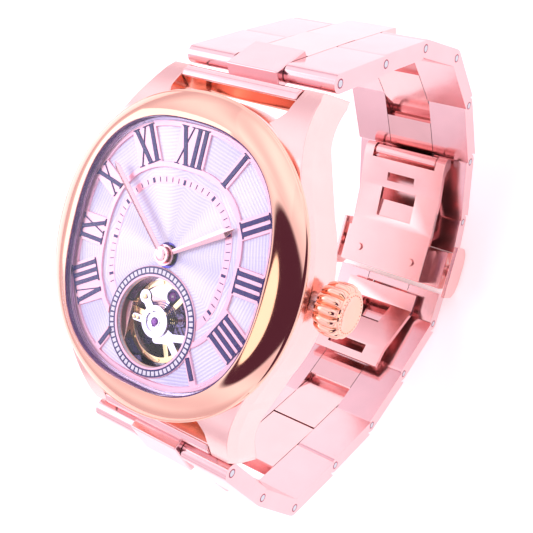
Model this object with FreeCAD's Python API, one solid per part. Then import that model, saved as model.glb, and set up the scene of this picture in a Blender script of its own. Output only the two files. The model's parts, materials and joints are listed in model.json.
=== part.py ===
import FreeCAD
import Part
import math
import os
from FreeCAD import Vector

# Wristwatch with a balance window in the dial, on a three-piece link bracelet, in millimetres.
# +Z leaves the dial, +Y points to 12 o'clock and +X to 3 o'clock.
# The origin is the centre of the case back's outer face, on the axis of the hands.

# ---- heights along Z ----
BACK_THICK = 2.0            # screwed case back
CASE_TOP = 9.3              # upper face of the mid-case
DIAL_LIFT = 1.2             # front face of the dial above the mid-case
DIAL_Z = CASE_TOP + DIAL_LIFT
DIAL_THICK = 0.5
BEZEL_RISE = 2.75           # bezel's crest above the mid-case
BEZEL_TOP = CASE_TOP + BEZEL_RISE
CRYSTAL_PROUD = 0.9         # crystal's face above the bezel
CRYSTAL_TOP = BEZEL_TOP + CRYSTAL_PROUD
CRYSTAL_THICK = 0.7
FLANGE_HEIGHT = 0.6         # flange ring between the dial and the crystal

# ---- case outline: |x/a|^n + |y/b|^n = 1 ----
CASE_A, CASE_B, CASE_N = 21.3, 22.0, 2.05
BEZEL_LIP = 0.3             # bezel's widest line beyond the mid-case
BEZEL_A, BEZEL_B = CASE_A + BEZEL_LIP, CASE_B + BEZEL_LIP
MOUTH_A, MOUTH_B, MOUTH_N = 16.9, 18.2, 2.53   # inner edge of the bezel
DIAL_MARGIN = 0.75          # dial is larger than the bezel's mouth
CRYSTAL_WALL = 0.5
GASKET = 0.15
BACK_R = 18.6
BACK_OPENING_R = 15.0
BACK_GLASS_R = 13.4
BACK_GLASS_THICK = 1.2
BACK_SCREWS = 6
BACK_SCREW_PCR = 17.4
CLEAR = 0.05                # running clearance
PART_GAP = 0.1              # gap between neighbouring fixed pieces

# ---- lugs and end links ----
LUG_GAP = 20.0
LUG_WIDTH = 4.0
LUG_REACH = 3.7             # lug tip beyond the mid-case
LUG_TIP_Y = CASE_B + LUG_REACH
LUG_TIP_TOP = 3.1
LUG_TIP_LOW = -3.2
SPRING_BAR_BACK, SPRING_BAR_Z, SPRING_BAR_R = 2.0, 0.6, 0.5
SPRING_BAR_Y = LUG_TIP_Y - SPRING_BAR_BACK
END_LINK_GAP = 0.75         # end link clear of the mid-case
END_LINK_IN_Y = CASE_B + END_LINK_GAP

# ---- bracelet ----
PITCH = 12.3
SHORT_PITCH = 6.0
LINK_THICK = 2.8
LINK_HALF_AT_LUG = 12.8
LINK_HALF_AT_CLASP = 10.9
CENTRE_HALF = 4.4
PIN_R = 0.5
LINK_GAP = 0.25
FIRST_GAP_12, FIRST_GAP_6 = 0.5, 0.4    # first link clear of the lug tips
PIN_12 = (LUG_TIP_Y + LINK_THICK / 2 + FIRST_GAP_12, -0.3)      # first hinge, (y, z)
PIN_6 = (-LUG_TIP_Y - LINK_THICK / 2 - FIRST_GAP_6, 1.3)
TILT_12 = (23.5, 22.5, 5.0, -29.5, -47.5, -64.5, -80.0)   # degrees outward of straight down
TILT_6 = (29.0, 20.0, -26.0, -28.0, -47.0, -50.0, -88.0)
TONGUE_TILT = 38.0

# ---- clasp ----
CLASP_HEIGHT = 5.2
SHELF_RISE = 3.9            # wrist side of the plate above the box
KNUCKLE_R, EAR_R = 1.2, 1.0
HINGE_BACK = 1.7            # clasp hinge from the sixth link's pin
HINGE_RISE = LINK_THICK / 2 + KNUCKLE_R + 0.1
CLASP_GAP = 1.0
PLATE_THICK = 0.9
PLATE_HALF = 8.4
BUTTON_THICK = 0.8
BUTTON_TRAVEL = 0.7
BUTTON_LENGTH = 9.8

# ---- dial and window ----
WINDOW_Y = -9.36
WINDOW_R = 6.1
TRACK_A, TRACK_B, TRACK_N = 10.1, 10.35, 2.53
CHAPTER_IN = 1.15           # inner bar of the chapter frame, out from the minute track
CHAPTER_BAR = 0.7
CHAPTER_RISE = 0.3
NUMERAL_RISE = 0.12
NUMERAL_STROKE = 0.62
NUMERAL_THIN = 0.22
LETTER_WIDTH = {"I": 1.12, "V": 2.35, "X": 2.6}
WORDS = {1: "I", 2: "II", 3: "III", 4: "IIII", 8: "VIII", 9: "IX", 10: "X", 11: "XI", 12: "XII"}
STEM_TURNS = {5: 148.0, 7: 207.6}    # degrees clockwise of 12
STEM_LOW, STEM_HIGH = 14.0, 17.1     # ends of those two stems, from the centre
STEM_PAD_HALF = 0.6
PAD_MARGIN = 0.22

# ---- hands ----
HOUR_LENGTH, HOUR_ANGLE = 11.9, 58.0        # degrees clockwise of 12
MINUTE_LENGTH, MINUTE_ANGLE = 15.6, 310.5
HOUR_HAND_Z, MINUTE_HAND_Z = DIAL_Z + 0.65, DIAL_Z + 1.25
HAND_THICK = 0.18

# ---- crown ----
CROWN_DROP = 0.96           # stem's axis below the main plate
CROWN_R = 3.6
CROWN_GAP, CROWN_LENGTH = 1.05, 3.7
CROWN_IN_X = CASE_A + CROWN_GAP
CROWN_OUT_X = CROWN_IN_X + CROWN_LENGTH
CROWN_FLUTES = 14
STEM_R = 0.6
TUBE_R = 1.25

# ---- movement ----
PLATE_R = 15.3
BRIDGE_GAP, BRIDGE_THICK = 0.3, 1.1     # train bridge above the case back's seat, and its own thickness
BRIDGE_Z0 = BACK_THICK + BRIDGE_GAP
BRIDGE_Z1 = BRIDGE_Z0 + BRIDGE_THICK
TRAIN_ROOM, MAIN_PLATE_THICK = 2.8, 2.6
PLATE_Z0 = BRIDGE_Z1 + TRAIN_ROOM
PLATE_Z1 = PLATE_Z0 + MAIN_PLATE_THICK
CROWN_Z = PLATE_Z0 - CROWN_DROP
BARREL_Z0, BARREL_Z1, BARREL_COVER_Z = BRIDGE_Z1 + 0.3, BRIDGE_Z1 + 1.0, BRIDGE_Z1 + 1.6
CENTRE_WHEEL_Z, CENTRE_WHEEL_THICK = BRIDGE_Z1 + 1.8, 0.25
THIRD_WHEEL_Z, FOURTH_WHEEL_Z, THIN_WHEEL = BRIDGE_Z1 + 1.35, BRIDGE_Z1 + 0.75, 0.2
ESCAPE_WHEEL_Z = PLATE_Z0 - 0.6
PIT_R = WINDOW_R + 0.3
ARBOR_R = 0.2
JEWEL_R, JEWEL_THICK = 0.62, 0.35
CENTRE_ARBOR_R = 0.4
BARREL_TEETH, CENTRE_LEAVES, BARREL_MODULE = 72, 12, 0.15
CENTRE_TEETH, THIRD_LEAVES, CENTRE_MODULE = 64, 8, 0.11
THIRD_TEETH, FOURTH_LEAVES, THIRD_MODULE = 60, 8, 0.10
FOURTH_TEETH, ESCAPE_LEAVES, FOURTH_MODULE = 72, 8, 0.08
CANNON_LEAVES, MINUTE_TEETH, CANNON_MODULE = 14, 42, 0.12
MINUTE_LEAVES, HOUR_TEETH = 10, 40
ESCAPE_TEETH, ESCAPE_R = 20, 2.3
PALLET_REACH = 2.75         # pallet pivot to escape axis
BALANCE_R = WINDOW_R - 0.4
BALANCE_Z = PLATE_Z0 + 1.7
BALANCE_THICK = 0.6
BRIDGE_FRONT_Z = PLATE_Z1 + 0.4        # back face of the balance bridge
BRIDGE_FRONT_THICK = 0.6


def save(node, *shapes):
    """One STEP file for each named node; several shapes stay separate solids."""
    solids = [s for shape in shapes for s in shape.Solids]
    shape = solids[0] if len(solids) == 1 else Part.makeCompound(solids)
    shape.exportStep("parts/%s.step" % node)


def disc(r, z0, z1, x=0.0, y=0.0):
    return Part.makeCylinder(r, z1 - z0, Vector(x, y, z0))


def ring(r_out, r_in, z0, z1, x=0.0, y=0.0):
    return disc(r_out, z0, z1, x, y).cut(disc(r_in, z0 - 1, z1 + 1, x, y))


def rod(r, x0, x1, y, z):
    """Cylinder along X."""
    return Part.makeCylinder(r, x1 - x0, Vector(x0, y, z), Vector(1, 0, 0))


def block(x0, x1, y0, y1, z0, z1):
    return Part.makeBox(x1 - x0, y1 - y0, z1 - z0, Vector(x0, y0, z0))


def oval_wire(a, b, n, z, count=64):
    """Closed smooth curve |x/a|^n + |y/b|^n = 1 at height z."""
    points = []
    for i in range(count):
        t = 2 * math.pi * i / count
        c, s = math.cos(t), math.sin(t)
        r = (abs(c / a) ** n + abs(s / b) ** n) ** (-1 / n)
        points.append(Vector(r * c, r * s, z))
    curve = Part.BSplineCurve()
    curve.interpolate(points, PeriodicFlag=True)
    return Part.Wire([curve.toShape()])


def oval(a, b, n, z0, z1):
    return Part.Face(oval_wire(a, b, n, z0)).extrude(Vector(0, 0, z1 - z0))


def oval_ring(a, b, n, width, z0, z1):
    return oval(a, b, n, z0, z1).cut(oval(a - width, b - width, n, z0 - 1, z1 + 1))


def outline(points, z0, z1):
    """Straight-sided plate from (x, y) points."""
    wire = Part.makePolygon([Vector(x, y, z0) for x, y in points + points[:1]])
    return Part.Face(wire).extrude(Vector(0, 0, z1 - z0))


def side_plate(points, x0, x1):
    """Straight-sided plate from (y, z) points, carried along X."""
    wire = Part.makePolygon([Vector(x0, y, z) for y, z in points + points[:1]])
    return Part.Face(wire).extrude(Vector(x1 - x0, 0, 0))


def bar(x0, y0, x1, y1, width, z0, z1):
    """Flat bar between two points with round ends."""
    length = math.hypot(x1 - x0, y1 - y0)
    body = block(0, length, -width / 2, width / 2, z0, z1)
    body.rotate(Vector(0, 0, 0), Vector(0, 0, 1), math.degrees(math.atan2(y1 - y0, x1 - x0)))
    body.translate(Vector(x0, y0, 0))
    return body.fuse([disc(width / 2, z0, z1, x0, y0), disc(width / 2, z0, z1, x1, y1)]).removeSplitter()


def polar(r, degrees, x=0.0, y=0.0):
    a = math.radians(degrees)
    return x + r * math.cos(a), y + r * math.sin(a)


# ------------------------------------------------------------------ case

def bezel_bore():
    return MOUTH_A + DIAL_MARGIN + PART_GAP, MOUTH_B + DIAL_MARGIN + PART_GAP


def lug_pair(side):
    """Two lugs at one end, the common part of a front outline and a side outline."""
    inner = LUG_GAP / 2
    outer = inner + LUG_WIDTH
    tip = LUG_TIP_Y
    lugs = []
    for mirror in (1, -1):
        base_x = CASE_A * 0.9
        base_y = CASE_B * 0.5
        front = Part.Wire([
            Part.LineSegment(Vector(inner, base_y, -9), Vector(inner, tip, -9)).toShape(),
            Part.LineSegment(Vector(inner, tip, -9), Vector(outer, tip, -9)).toShape(),
            Part.Arc(
                Vector(outer, tip, -9),
                Vector(outer + 1.5, (tip + base_y) / 2 + 1.2, -9),
                Vector(base_x, base_y, -9),
            ).toShape(),
            Part.LineSegment(Vector(base_x, base_y, -9), Vector(inner, base_y, -9)).toShape(),
        ])
        front = Part.Face(front).extrude(Vector(0, 0, 30))
        under = BACK_THICK
        side_wire = Part.Wire([
            Part.LineSegment(Vector(0, base_y, CASE_TOP), Vector(0, tip - 8, CASE_TOP)).toShape(),
            Part.Arc(
                Vector(0, tip - 8, CASE_TOP),
                Vector(0, tip - 3.2, CASE_TOP - 2.0),
                Vector(0, tip, LUG_TIP_TOP),
            ).toShape(),
            Part.LineSegment(Vector(0, tip, LUG_TIP_TOP), Vector(0, tip, LUG_TIP_LOW)).toShape(),
            Part.Arc(
                Vector(0, tip, LUG_TIP_LOW),
                Vector(0, tip - 3.4, (LUG_TIP_LOW + under) / 2 + 1.0),
                Vector(0, tip - 7, under),
            ).toShape(),
            Part.LineSegment(Vector(0, tip - 7, under), Vector(0, base_y, under)).toShape(),
            Part.LineSegment(Vector(0, base_y, under), Vector(0, base_y, CASE_TOP)).toShape(),
        ])
        side_solid = Part.Face(side_wire).extrude(Vector(30, 0, 0))
        lug = front.common(side_solid)
        if mirror < 0:
            lug = lug.mirror(Vector(0, 0, 0), Vector(1, 0, 0))
        if side < 0:
            lug = lug.mirror(Vector(0, 0, 0), Vector(0, 1, 0))
        lugs.append(lug)
    return lugs


def mid_case():
    body = oval(CASE_A, CASE_B, CASE_N, BACK_THICK, CASE_TOP)
    body = body.fuse(lug_pair(1) + lug_pair(-1))
    body = body.cut(disc(PLATE_R + 2 * PART_GAP + 0.7, BACK_THICK + 1.0, CASE_TOP + 1))
    body = body.cut(disc(BACK_OPENING_R, BACK_THICK - 1, CASE_TOP))
    body = body.cut(rod(TUBE_R, PLATE_R, CROWN_OUT_X, 0, CROWN_Z))
    for sign in (1, -1):
        bar_hole = rod(SPRING_BAR_R + CLEAR, -LUG_GAP / 2 - 1.6, LUG_GAP / 2 + 1.6, sign * SPRING_BAR_Y, SPRING_BAR_Z)
        body = body.cut(bar_hole)
    for i in range(BACK_SCREWS):
        x, y = polar(BACK_SCREW_PCR, 30 + i * 360 / BACK_SCREWS)
        body = body.cut(disc(0.5, 0, BACK_THICK + 1.6, x, y))
    return body


def bezel():
    """Domed ring: seven outlines from the case's edge to the mouth, then bored for dial and crystal."""
    wide, deep = BEZEL_A - MOUTH_A, BEZEL_B - MOUTH_B
    rise = BEZEL_TOP - CASE_TOP
    steps = ((0.94, 0.0), (1.0, 0.14), (0.91, 0.36), (0.66, 0.68), (0.36, 0.90), (0.10, 1.0), (0.0, 0.98))
    wires = []
    for out, up in steps:
        n = MOUTH_N + (CASE_N - MOUTH_N) * out
        wires.append(oval_wire(MOUTH_A + wide * out, MOUTH_B + deep * out, n, CASE_TOP + rise * up))
    body = Part.makeLoft(wires, True, True)
    a, b = bezel_bore()
    body = body.cut(oval(a, b, MOUTH_N, CASE_TOP - 1, DIAL_Z + FLANGE_HEIGHT))
    return body.cut(oval(MOUTH_A, MOUTH_B, MOUTH_N, CASE_TOP, BEZEL_TOP + 1))


def rehaut():
    a, b = bezel_bore()
    body = oval(a - PART_GAP, b - PART_GAP, MOUTH_N, DIAL_Z, DIAL_Z + FLANGE_HEIGHT)
    return body.cut(oval(MOUTH_A - 0.35, MOUTH_B - 0.35, MOUTH_N, DIAL_Z - 1, DIAL_Z + 2))


def crystal():
    """Box crystal: a flat top with a short wall that stands on the flange ring."""
    a, b = MOUTH_A - GASKET, MOUTH_B - GASKET
    foot = DIAL_Z + FLANGE_HEIGHT
    body = oval(a, b, MOUTH_N, foot, CRYSTAL_TOP)
    pocket = oval(a - CRYSTAL_WALL, b - CRYSTAL_WALL, MOUTH_N, foot - 1, CRYSTAL_TOP - CRYSTAL_THICK)
    return body.cut(pocket)


def case_back():
    body = disc(BACK_R, 0, BACK_THICK)
    body = body.cut(disc(BACK_GLASS_R, -1, BACK_GLASS_THICK))
    body = body.cut(disc(BACK_GLASS_R - 0.8, 0, BACK_THICK + 1))
    body = body.cut(ring(BACK_OPENING_R + 1.2, BACK_OPENING_R + 0.4, BACK_THICK - 0.6, BACK_THICK + 1))
    for i in range(BACK_SCREWS):
        x, y = polar(BACK_SCREW_PCR, 30 + i * 360 / BACK_SCREWS)
        body = body.cut(disc(0.5, -1, BACK_THICK + 1, x, y))
        body = body.cut(disc(0.9, -1, 0.7, x, y))
    return body


def back_screws():
    screws = []
    for i in range(BACK_SCREWS):
        x, y = polar(BACK_SCREW_PCR, 30 + i * 360 / BACK_SCREWS)
        head = disc(0.85, 0.08, 0.7, x, y)
        head = head.cut(block(x - 1, x + 1, y - 0.12, y + 0.12, -0.5, 0.35))
        screws.append(head.fuse(disc(0.48, 0.7, BACK_THICK + 1.4, x, y)))
    return screws


def end_link(side, pin, tilt):
    """Block between the lugs with a tongue that carries the first link's hinge."""
    half = LUG_GAP / 2 - PART_GAP
    tip = LUG_TIP_Y
    yp, zp = abs(pin[0]), pin[1]
    profile = [
        (END_LINK_IN_Y, 4.9),
        (tip - 1.2, 4.5),
        (tip - 0.1, 3.4),
        (tip - 0.1, -1.6),
        (tip - 1.2, -2.2),
        (END_LINK_IN_Y, -0.9),
    ]
    body = side_plate(profile, -half, half)
    reach = PITCH / 2 - LINK_THICK / 2 - LINK_GAP
    a = math.radians(tilt)
    u = (math.sin(a), -math.cos(a))
    n = (math.cos(a), math.sin(a))
    t = LINK_THICK / 2
    back = -4.6
    corners = [(back, t), (reach + 2, t), (reach + 2, -t), (back, -t)]
    points = [(yp + s * u[0] + h * n[0], zp + s * u[1] + h * n[1]) for s, h in corners]
    tongue = side_plate(points, -CENTRE_HALF, CENTRE_HALF).common(rod(reach, -30, 30, yp, zp))
    body = body.fuse(tongue).cut(rod(SPRING_BAR_R + CLEAR, -30, 30, SPRING_BAR_Y, SPRING_BAR_Z))
    body = body.cut(rod(PIN_R + CLEAR, -30, 30, yp, zp))
    body = body.cut(rod(t + LINK_GAP, CENTRE_HALF, 30, yp, zp)).cut(rod(t + LINK_GAP, -30, -CENTRE_HALF, yp, zp))
    if side < 0:
        body = body.mirror(Vector(0, 0, 0), Vector(0, 1, 0))
    return body


# ------------------------------------------------------------------ bracelet

def chain(pin, tilts, side):
    """Hinge points (y, z) of one bracelet half, from the end link to the clasp."""
    y, z = pin
    points = [(y, z)]
    for i, tilt in enumerate(tilts):
        step = SHORT_PITCH if i == len(tilts) - 1 else PITCH
        y += side * step * math.sin(math.radians(tilt))
        z -= step * math.cos(math.radians(tilt))
        points.append((y, z))
    return points


def link_half(index):
    share = index / (len(TILT_12) - 1)
    return LINK_HALF_AT_LUG + (LINK_HALF_AT_CLASP - LINK_HALF_AT_LUG) * share


def place_link(shape, pin, tilt, side):
    """From the link's own frame (Y along the bracelet, Z outward) to the watch."""
    turn = tilt - 90
    if side < 0:
        shape.rotate(Vector(0, 0, 0), Vector(0, 0, 1), 180)
        turn = -turn
    shape.rotate(Vector(0, 0, 0), Vector(1, 0, 0), turn)
    shape.translate(Vector(0, pin[0], pin[1]))
    return shape


def link(index):
    """Two outer pieces, one centre piece and the hinge pin, in the link's own frame."""
    half = link_half(index)
    t = LINK_THICK / 2
    last = index == len(TILT_12) - 1
    step = SHORT_PITCH if last else PITCH
    edge = 0.45
    pieces = []
    for sign in (1, -1):
        x0, x1 = (CENTRE_HALF + PART_GAP, half) if sign > 0 else (-half, -CENTRE_HALF - PART_GAP)
        end = step - PART_GAP if last else step
        body = side_plate([(0, -t), (end, -t), (end, t - edge), (end - edge, t), (0, t)], x0, x1)
        body = body.fuse(rod(t, x0, x1, 0, 0)).removeSplitter()
        if not last:
            body = body.cut(rod(t + LINK_GAP, -30, 30, step, 0))
        body = body.cut(rod(PIN_R, -30, 30, 0, 0))
        pieces.append(body)
    reach = PITCH / 2 - t - LINK_GAP
    if last:
        centre = block(-CENTRE_HALF, CENTRE_HALF, 0, step - PART_GAP, -t, t)
    else:
        centre = block(-CENTRE_HALF, CENTRE_HALF, 0, step + reach + 1, -t, t)
        beyond = block(-CENTRE_HALF - 1, CENTRE_HALF + 1, step, step + reach + 2, -t - 1, t + 1)
        centre = centre.cut(beyond.cut(rod(reach, -30, 30, step, 0)))
        centre = centre.cut(rod(PIN_R + CLEAR, -30, 30, step, 0))
    centre = centre.cut(rod(reach + LINK_GAP, -30, 30, 0, 0))
    pieces.append(centre)
    pieces.append(rod(PIN_R, -half + 0.5, half - 0.5, 0, 0))
    if reach + LINK_GAP < step:
        tie = reach + LINK_GAP + 0.6 if last else PITCH / 2
        pieces.append(rod(0.3, -half + 1.5, half - 1.5, tie, 0))
        pieces[0] = pieces[0].cut(pieces[-1])
        pieces[1] = pieces[1].cut(pieces[-1])
        pieces[2] = pieces[2].cut(pieces[-1])
    return pieces


def bracelet_half(name, pin, tilts, side):
    points = chain(pin, tilts, side)
    for i, tilt in enumerate(tilts):
        pieces = [place_link(p, points[i], tilt, side) for p in link(i)]
        save("link_%s_%d" % (name, i + 1), *pieces)
    return points


# ------------------------------------------------------------------ clasp

def curved_strip(points, thick, half):
    """Strip through (y, z) points, thickness set towards the outside of the loop."""
    lower = []
    for i, (y, z) in enumerate(points):
        y0, z0 = points[max(i - 1, 0)]
        y1, z1 = points[min(i + 1, len(points) - 1)]
        length = math.hypot(y1 - y0, z1 - z0)
        lower.append((y + thick * (z1 - z0) / length, z - thick * (y1 - y0) / length))
    return side_plate(points + lower[::-1], -half, half)


def inside_of(points, first, last, offset):
    """Points on the wrist side of a stretch of hinges, at an offset from their line."""
    result = []
    for i in range(first, last + 1):
        y0, z0 = points[max(i - 1, 0)]
        y1, z1 = points[min(i + 1, len(points) - 1)]
        length = math.hypot(y1 - y0, z1 - z0)
        ny, nz = (z1 - z0) / length, -(y1 - y0) / length
        if nz < 0:
            ny, nz = -ny, -nz
        result.append((points[i][0] + offset * ny, points[i][1] + offset * nz))
    return result


def feet(y, z0, z1, pin, tilt, side):
    """Two feet that stand on the outer pieces of a short link, one each side of its centre piece."""
    x0, x1 = CENTRE_HALF + 2 * PART_GAP, PLATE_HALF - 2.2
    short = [place_link(piece, pin, tilt, side) for piece in link(len(TILT_12) - 1)[:2]]
    result = []
    for sign in (1, -1):
        foot = block(min(sign * x0, sign * x1), max(sign * x0, sign * x1), y, y + 1.6, z0, z1)
        foot = foot.cut(short[0]).cut(short[1])
        result.append(max(foot.Solids, key=lambda s: s.CenterOfMass.z))
    return result


def clasp(upper, lower):
    """Folding clasp between the two halves: arm, plate with box, buttons and catch."""
    t = LINK_THICK / 2
    y1, z1 = upper[-1]
    y0, z0 = lower[-1]
    box_y0 = y0 + CLASP_GAP
    box_y1 = y1 - 2 * PART_GAP
    low = min(z0, z1) - t
    top = low + CLASP_HEIGHT
    mid_y = (box_y0 + box_y1) / 2
    shelf = top + SHELF_RISE
    hinge_y, hinge_z = upper[5][0] - HINGE_BACK, upper[5][1] + HINGE_RISE
    # arm: from the short link to the hinge, along the inner side of the sixth link
    mid = (upper[6][0] + 2.0, upper[6][1] + t + 0.45 + PLATE_THICK + 1.0)
    arm_line = [(y1 + 0.9, mid[1] - 0.6), mid, (hinge_y - 2.1, hinge_z - 1.5), (hinge_y - 0.3, hinge_z - 0.1)]
    arm = curved_strip(arm_line, PLATE_THICK, PLATE_HALF - 2.2)
    arm = arm.fuse(feet(y1 + 0.9, z1, mid[1] - PLATE_THICK, upper[6], TILT_12[6], 1))
    ear = rod(EAR_R, -PLATE_HALF + 2.2, PLATE_HALF - 2.2, hinge_y, hinge_z)
    arm = arm.fuse(ear)
    # plate: from the hinge to the box, on the wrist side of the arm
    end = (hinge_y - 1.5, hinge_z + 1.1)
    line = [(box_y0 + 0.4, shelf), (y1 + 1.8, shelf), ((y1 + hinge_y) / 2 + 1, shelf + 0.9), end]
    plate = curved_strip(line, PLATE_THICK, PLATE_HALF)
    knuckles = [rod(KNUCKLE_R, x0, x0 + 1.9, hinge_y, hinge_z) for x0 in (-PLATE_HALF, PLATE_HALF - 1.9)]
    web = side_plate([(end[0] - 1.2, end[1] - 0.8), (end[0], end[1]), (hinge_y, hinge_z + KNUCKLE_R),
                      (hinge_y, hinge_z), (end[0] - 0.4, end[1] - 1.4)], -PLATE_HALF, -PLATE_HALF + 1.9)
    webs = [web, web.mirror(Vector(0, 0, 0), Vector(1, 0, 0))]
    plate = plate.fuse(knuckles + webs)
    plate = plate.cut(rod(PIN_R, -30, 30, hinge_y, hinge_z))
    window_y = (y1 + 3.2, y1 + 8.6)
    plate = plate.cut(block(-3.6, 3.6, window_y[0], window_y[1], shelf - 0.3, shelf + 4))
    plate = plate.cut(block(-2.8, 2.8, window_y[1] + 1.4, window_y[1] + 2.9, shelf - 3, shelf + 6))
    save("clasp_arm", arm.cut(rod(PIN_R + CLEAR, -30, 30, hinge_y, hinge_z)))
    rivets = [disc(0.7, top, shelf + 0.45, s * 5.6, mid_y) for s in (1, -1)]
    plate = plate.cut(rivets[0]).cut(rivets[1])
    save("clasp_plate", plate, rod(PIN_R, -PLATE_HALF, PLATE_HALF, hinge_y, hinge_z))
    # box: rounded outer corners, carried by the plate on two rivets
    r = 2.2
    profile = Part.Wire([
        Part.LineSegment(Vector(0, box_y0, top), Vector(0, box_y1, top)).toShape(),
        Part.LineSegment(Vector(0, box_y1, top), Vector(0, box_y1, low + 0.6)).toShape(),
        Part.LineSegment(Vector(0, box_y1, low + 0.6), Vector(0, box_y1 - 0.6, low)).toShape(),
        Part.LineSegment(Vector(0, box_y1 - 0.6, low), Vector(0, box_y0 + r, low)).toShape(),
        Part.Arc(
            Vector(0, box_y0 + r, low),
            Vector(0, box_y0 + r * (1 - math.sqrt(0.5)), low + r * (1 - math.sqrt(0.5))),
            Vector(0, box_y0, low + r),
        ).toShape(),
        Part.LineSegment(Vector(0, box_y0, low + r), Vector(0, box_y0, top)).toShape(),
    ])
    half = LINK_HALF_AT_CLASP
    body = Part.Face(profile).extrude(Vector(2 * half, 0, 0))
    body.translate(Vector(-half, 0, 0))
    spring_z = (low + top) / 2
    bores = [rod(1.2 + CLEAR, s * half - 3.2, s * half + 3.2, mid_y, spring_z) for s in (1, -1)]
    body = body.cut(bores[0]).cut(bores[1])
    riser = block(-PLATE_HALF, PLATE_HALF, box_y0 + 0.4, box_y1 - 0.4, top, shelf - PLATE_THICK)
    body = body.fuse(riser)
    for rivet in rivets:
        body = body.cut(rivet)
    save("clasp_box", body, *rivets)
    for name, s in (("right", 1), ("left", -1)):
        inner = half + BUTTON_TRAVEL + 0.15
        cheek_y0, cheek_y1 = mid_y - BUTTON_LENGTH / 2, mid_y + BUTTON_LENGTH / 2
        face = side_plate([
            (cheek_y0, top), (cheek_y1, top), (cheek_y1, low + 1.9), (cheek_y1 - 1.0, low + 0.6),
            (cheek_y1 - 2.8, low), (cheek_y0 + 2.8, low), (cheek_y0 + 1.0, low + 0.6), (cheek_y0, low + 1.9),
        ], inner, inner + BUTTON_THICK)
        face = face.fuse(rod(1.2, half - 2.2, inner, mid_y, spring_z))
        if s < 0:
            face = face.mirror(Vector(0, 0, 0), Vector(1, 0, 0))
        save("clasp_button_%s" % name, face)
    # catch: rigid on the last lower link, on the wrist side of the lower links
    off = t + 0.55 + PLATE_THICK
    under = inside_of(lower, 5, 7, off)
    catch_line = [(under[0][0] - 1.5, under[0][1] + 2.6), (under[0][0] + 2.0, under[0][1] + 0.9),
                  (under[1][0], under[1][1] + 0.9), (y0 - 1.6, under[2][1] + 0.5)]
    catch = curved_strip(catch_line, PLATE_THICK, PLATE_HALF - 1.0)
    catch = catch.fuse(feet(y0 - 3.4, z0, under[2][1] + 0.2, lower[6], TILT_6[6], -1))
    catch = catch.cut(block(-3.0, 3.0, under[1][0] - 3.4, under[1][0] - 0.2, z0, z0 + 20))
    catch = catch.cut(block(-3.8, 3.8, under[0][0] - 0.2, under[0][0] + 1.4, z0, z0 + 20))
    save("clasp_catch", catch)


# ------------------------------------------------------------------ dial

def dial():
    body = oval(MOUTH_A + DIAL_MARGIN, MOUTH_B + DIAL_MARGIN, MOUTH_N, DIAL_Z - DIAL_THICK, DIAL_Z)
    body = body.cut(disc(WINDOW_R, 0, 20, 0, WINDOW_Y))
    return body.cut(disc(1.3, 0, 20))


def window_cut():
    return disc(WINDOW_R + 1.7, 0, 20, 0, WINDOW_Y)


def hour_turn(hour):
    """Degrees clockwise of 12; the two stems beside the window stand nearer to it."""
    return STEM_TURNS.get(hour, 30.0 * hour)


def pad_half(hour):
    """Half the width of the pad under an hour's numeral."""
    if hour not in WORDS:
        return STEM_PAD_HALF
    return sum(LETTER_WIDTH[kind] for kind in WORDS[hour]) / 2 + PAD_MARGIN


def chapter_frame():
    """Raised frame: inner bar, outer bar and a pad under each hour's numeral."""
    z0, z1 = DIAL_Z, DIAL_Z + CHAPTER_RISE
    a, b = TRACK_A + CHAPTER_IN + CHAPTER_BAR, TRACK_B + CHAPTER_IN + CHAPTER_BAR
    body = oval_ring(a, b, TRACK_N, CHAPTER_BAR, z0, z1)
    outer = oval_ring(MOUTH_A - 0.4, MOUTH_B - 0.4, MOUTH_N, CHAPTER_BAR, z0, z1)
    field = oval(MOUTH_A - 0.8, MOUTH_B - 0.8, MOUTH_N, z0, z1).cut(oval(a - 0.3, b - 0.3, TRACK_N, 0, 20))
    pads = []
    for hour in range(1, 13):
        half = pad_half(hour)
        pad = block(-half, half, TRACK_A / 2, MOUTH_B, z0, z1)
        pad.rotate(Vector(0, 0, 0), Vector(0, 0, 1), -hour_turn(hour))
        pads.append(pad.common(field))
    body = body.fuse([outer] + pads)
    return body.cut(window_cut())


def stroke(x0, y0, x1, y1, width):
    """Bar of a numeral with square ends."""
    length = math.hypot(x1 - x0, y1 - y0)
    ux, uy = (x1 - x0) / length, (y1 - y0) / length
    nx, ny = -uy * width / 2, ux * width / 2
    points = [(x0 + nx, y0 + ny), (x0 - nx, y0 - ny), (x1 - nx, y1 - ny), (x1 + nx, y1 + ny)]
    z = DIAL_Z + CHAPTER_RISE
    return outline(points, z, z + NUMERAL_RISE)


def letter(kind, x, height):
    """One roman letter centred at x: thick and thin bars with thin serifs."""
    h = height / 2
    thick, thin = NUMERAL_STROKE, NUMERAL_THIN
    if kind == "I":
        return [stroke(x, -h, x, h, thick), stroke(x - 0.55, h, x + 0.55, h, thin), stroke(x - 0.55, -h, x + 0.55, -h, thin)]
    if kind == "V":
        return [stroke(x - 0.85, h, x, -h, thick), stroke(x + 0.85, h, x, -h, thin),
                stroke(x - 1.4, h, x - 0.3, h, thin), stroke(x + 0.4, h, x + 1.3, h, thin)]
    return [stroke(x - 0.95, h, x + 0.95, -h, thick), stroke(x + 0.95, h, x - 0.95, -h, thin),
            stroke(x - 1.45, h, x - 0.4, h, thin), stroke(x + 0.5, h, x + 1.4, h, thin),
            stroke(x - 1.4, -h, x - 0.5, -h, thin), stroke(x + 0.4, -h, x + 1.45, -h, thin)]


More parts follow.
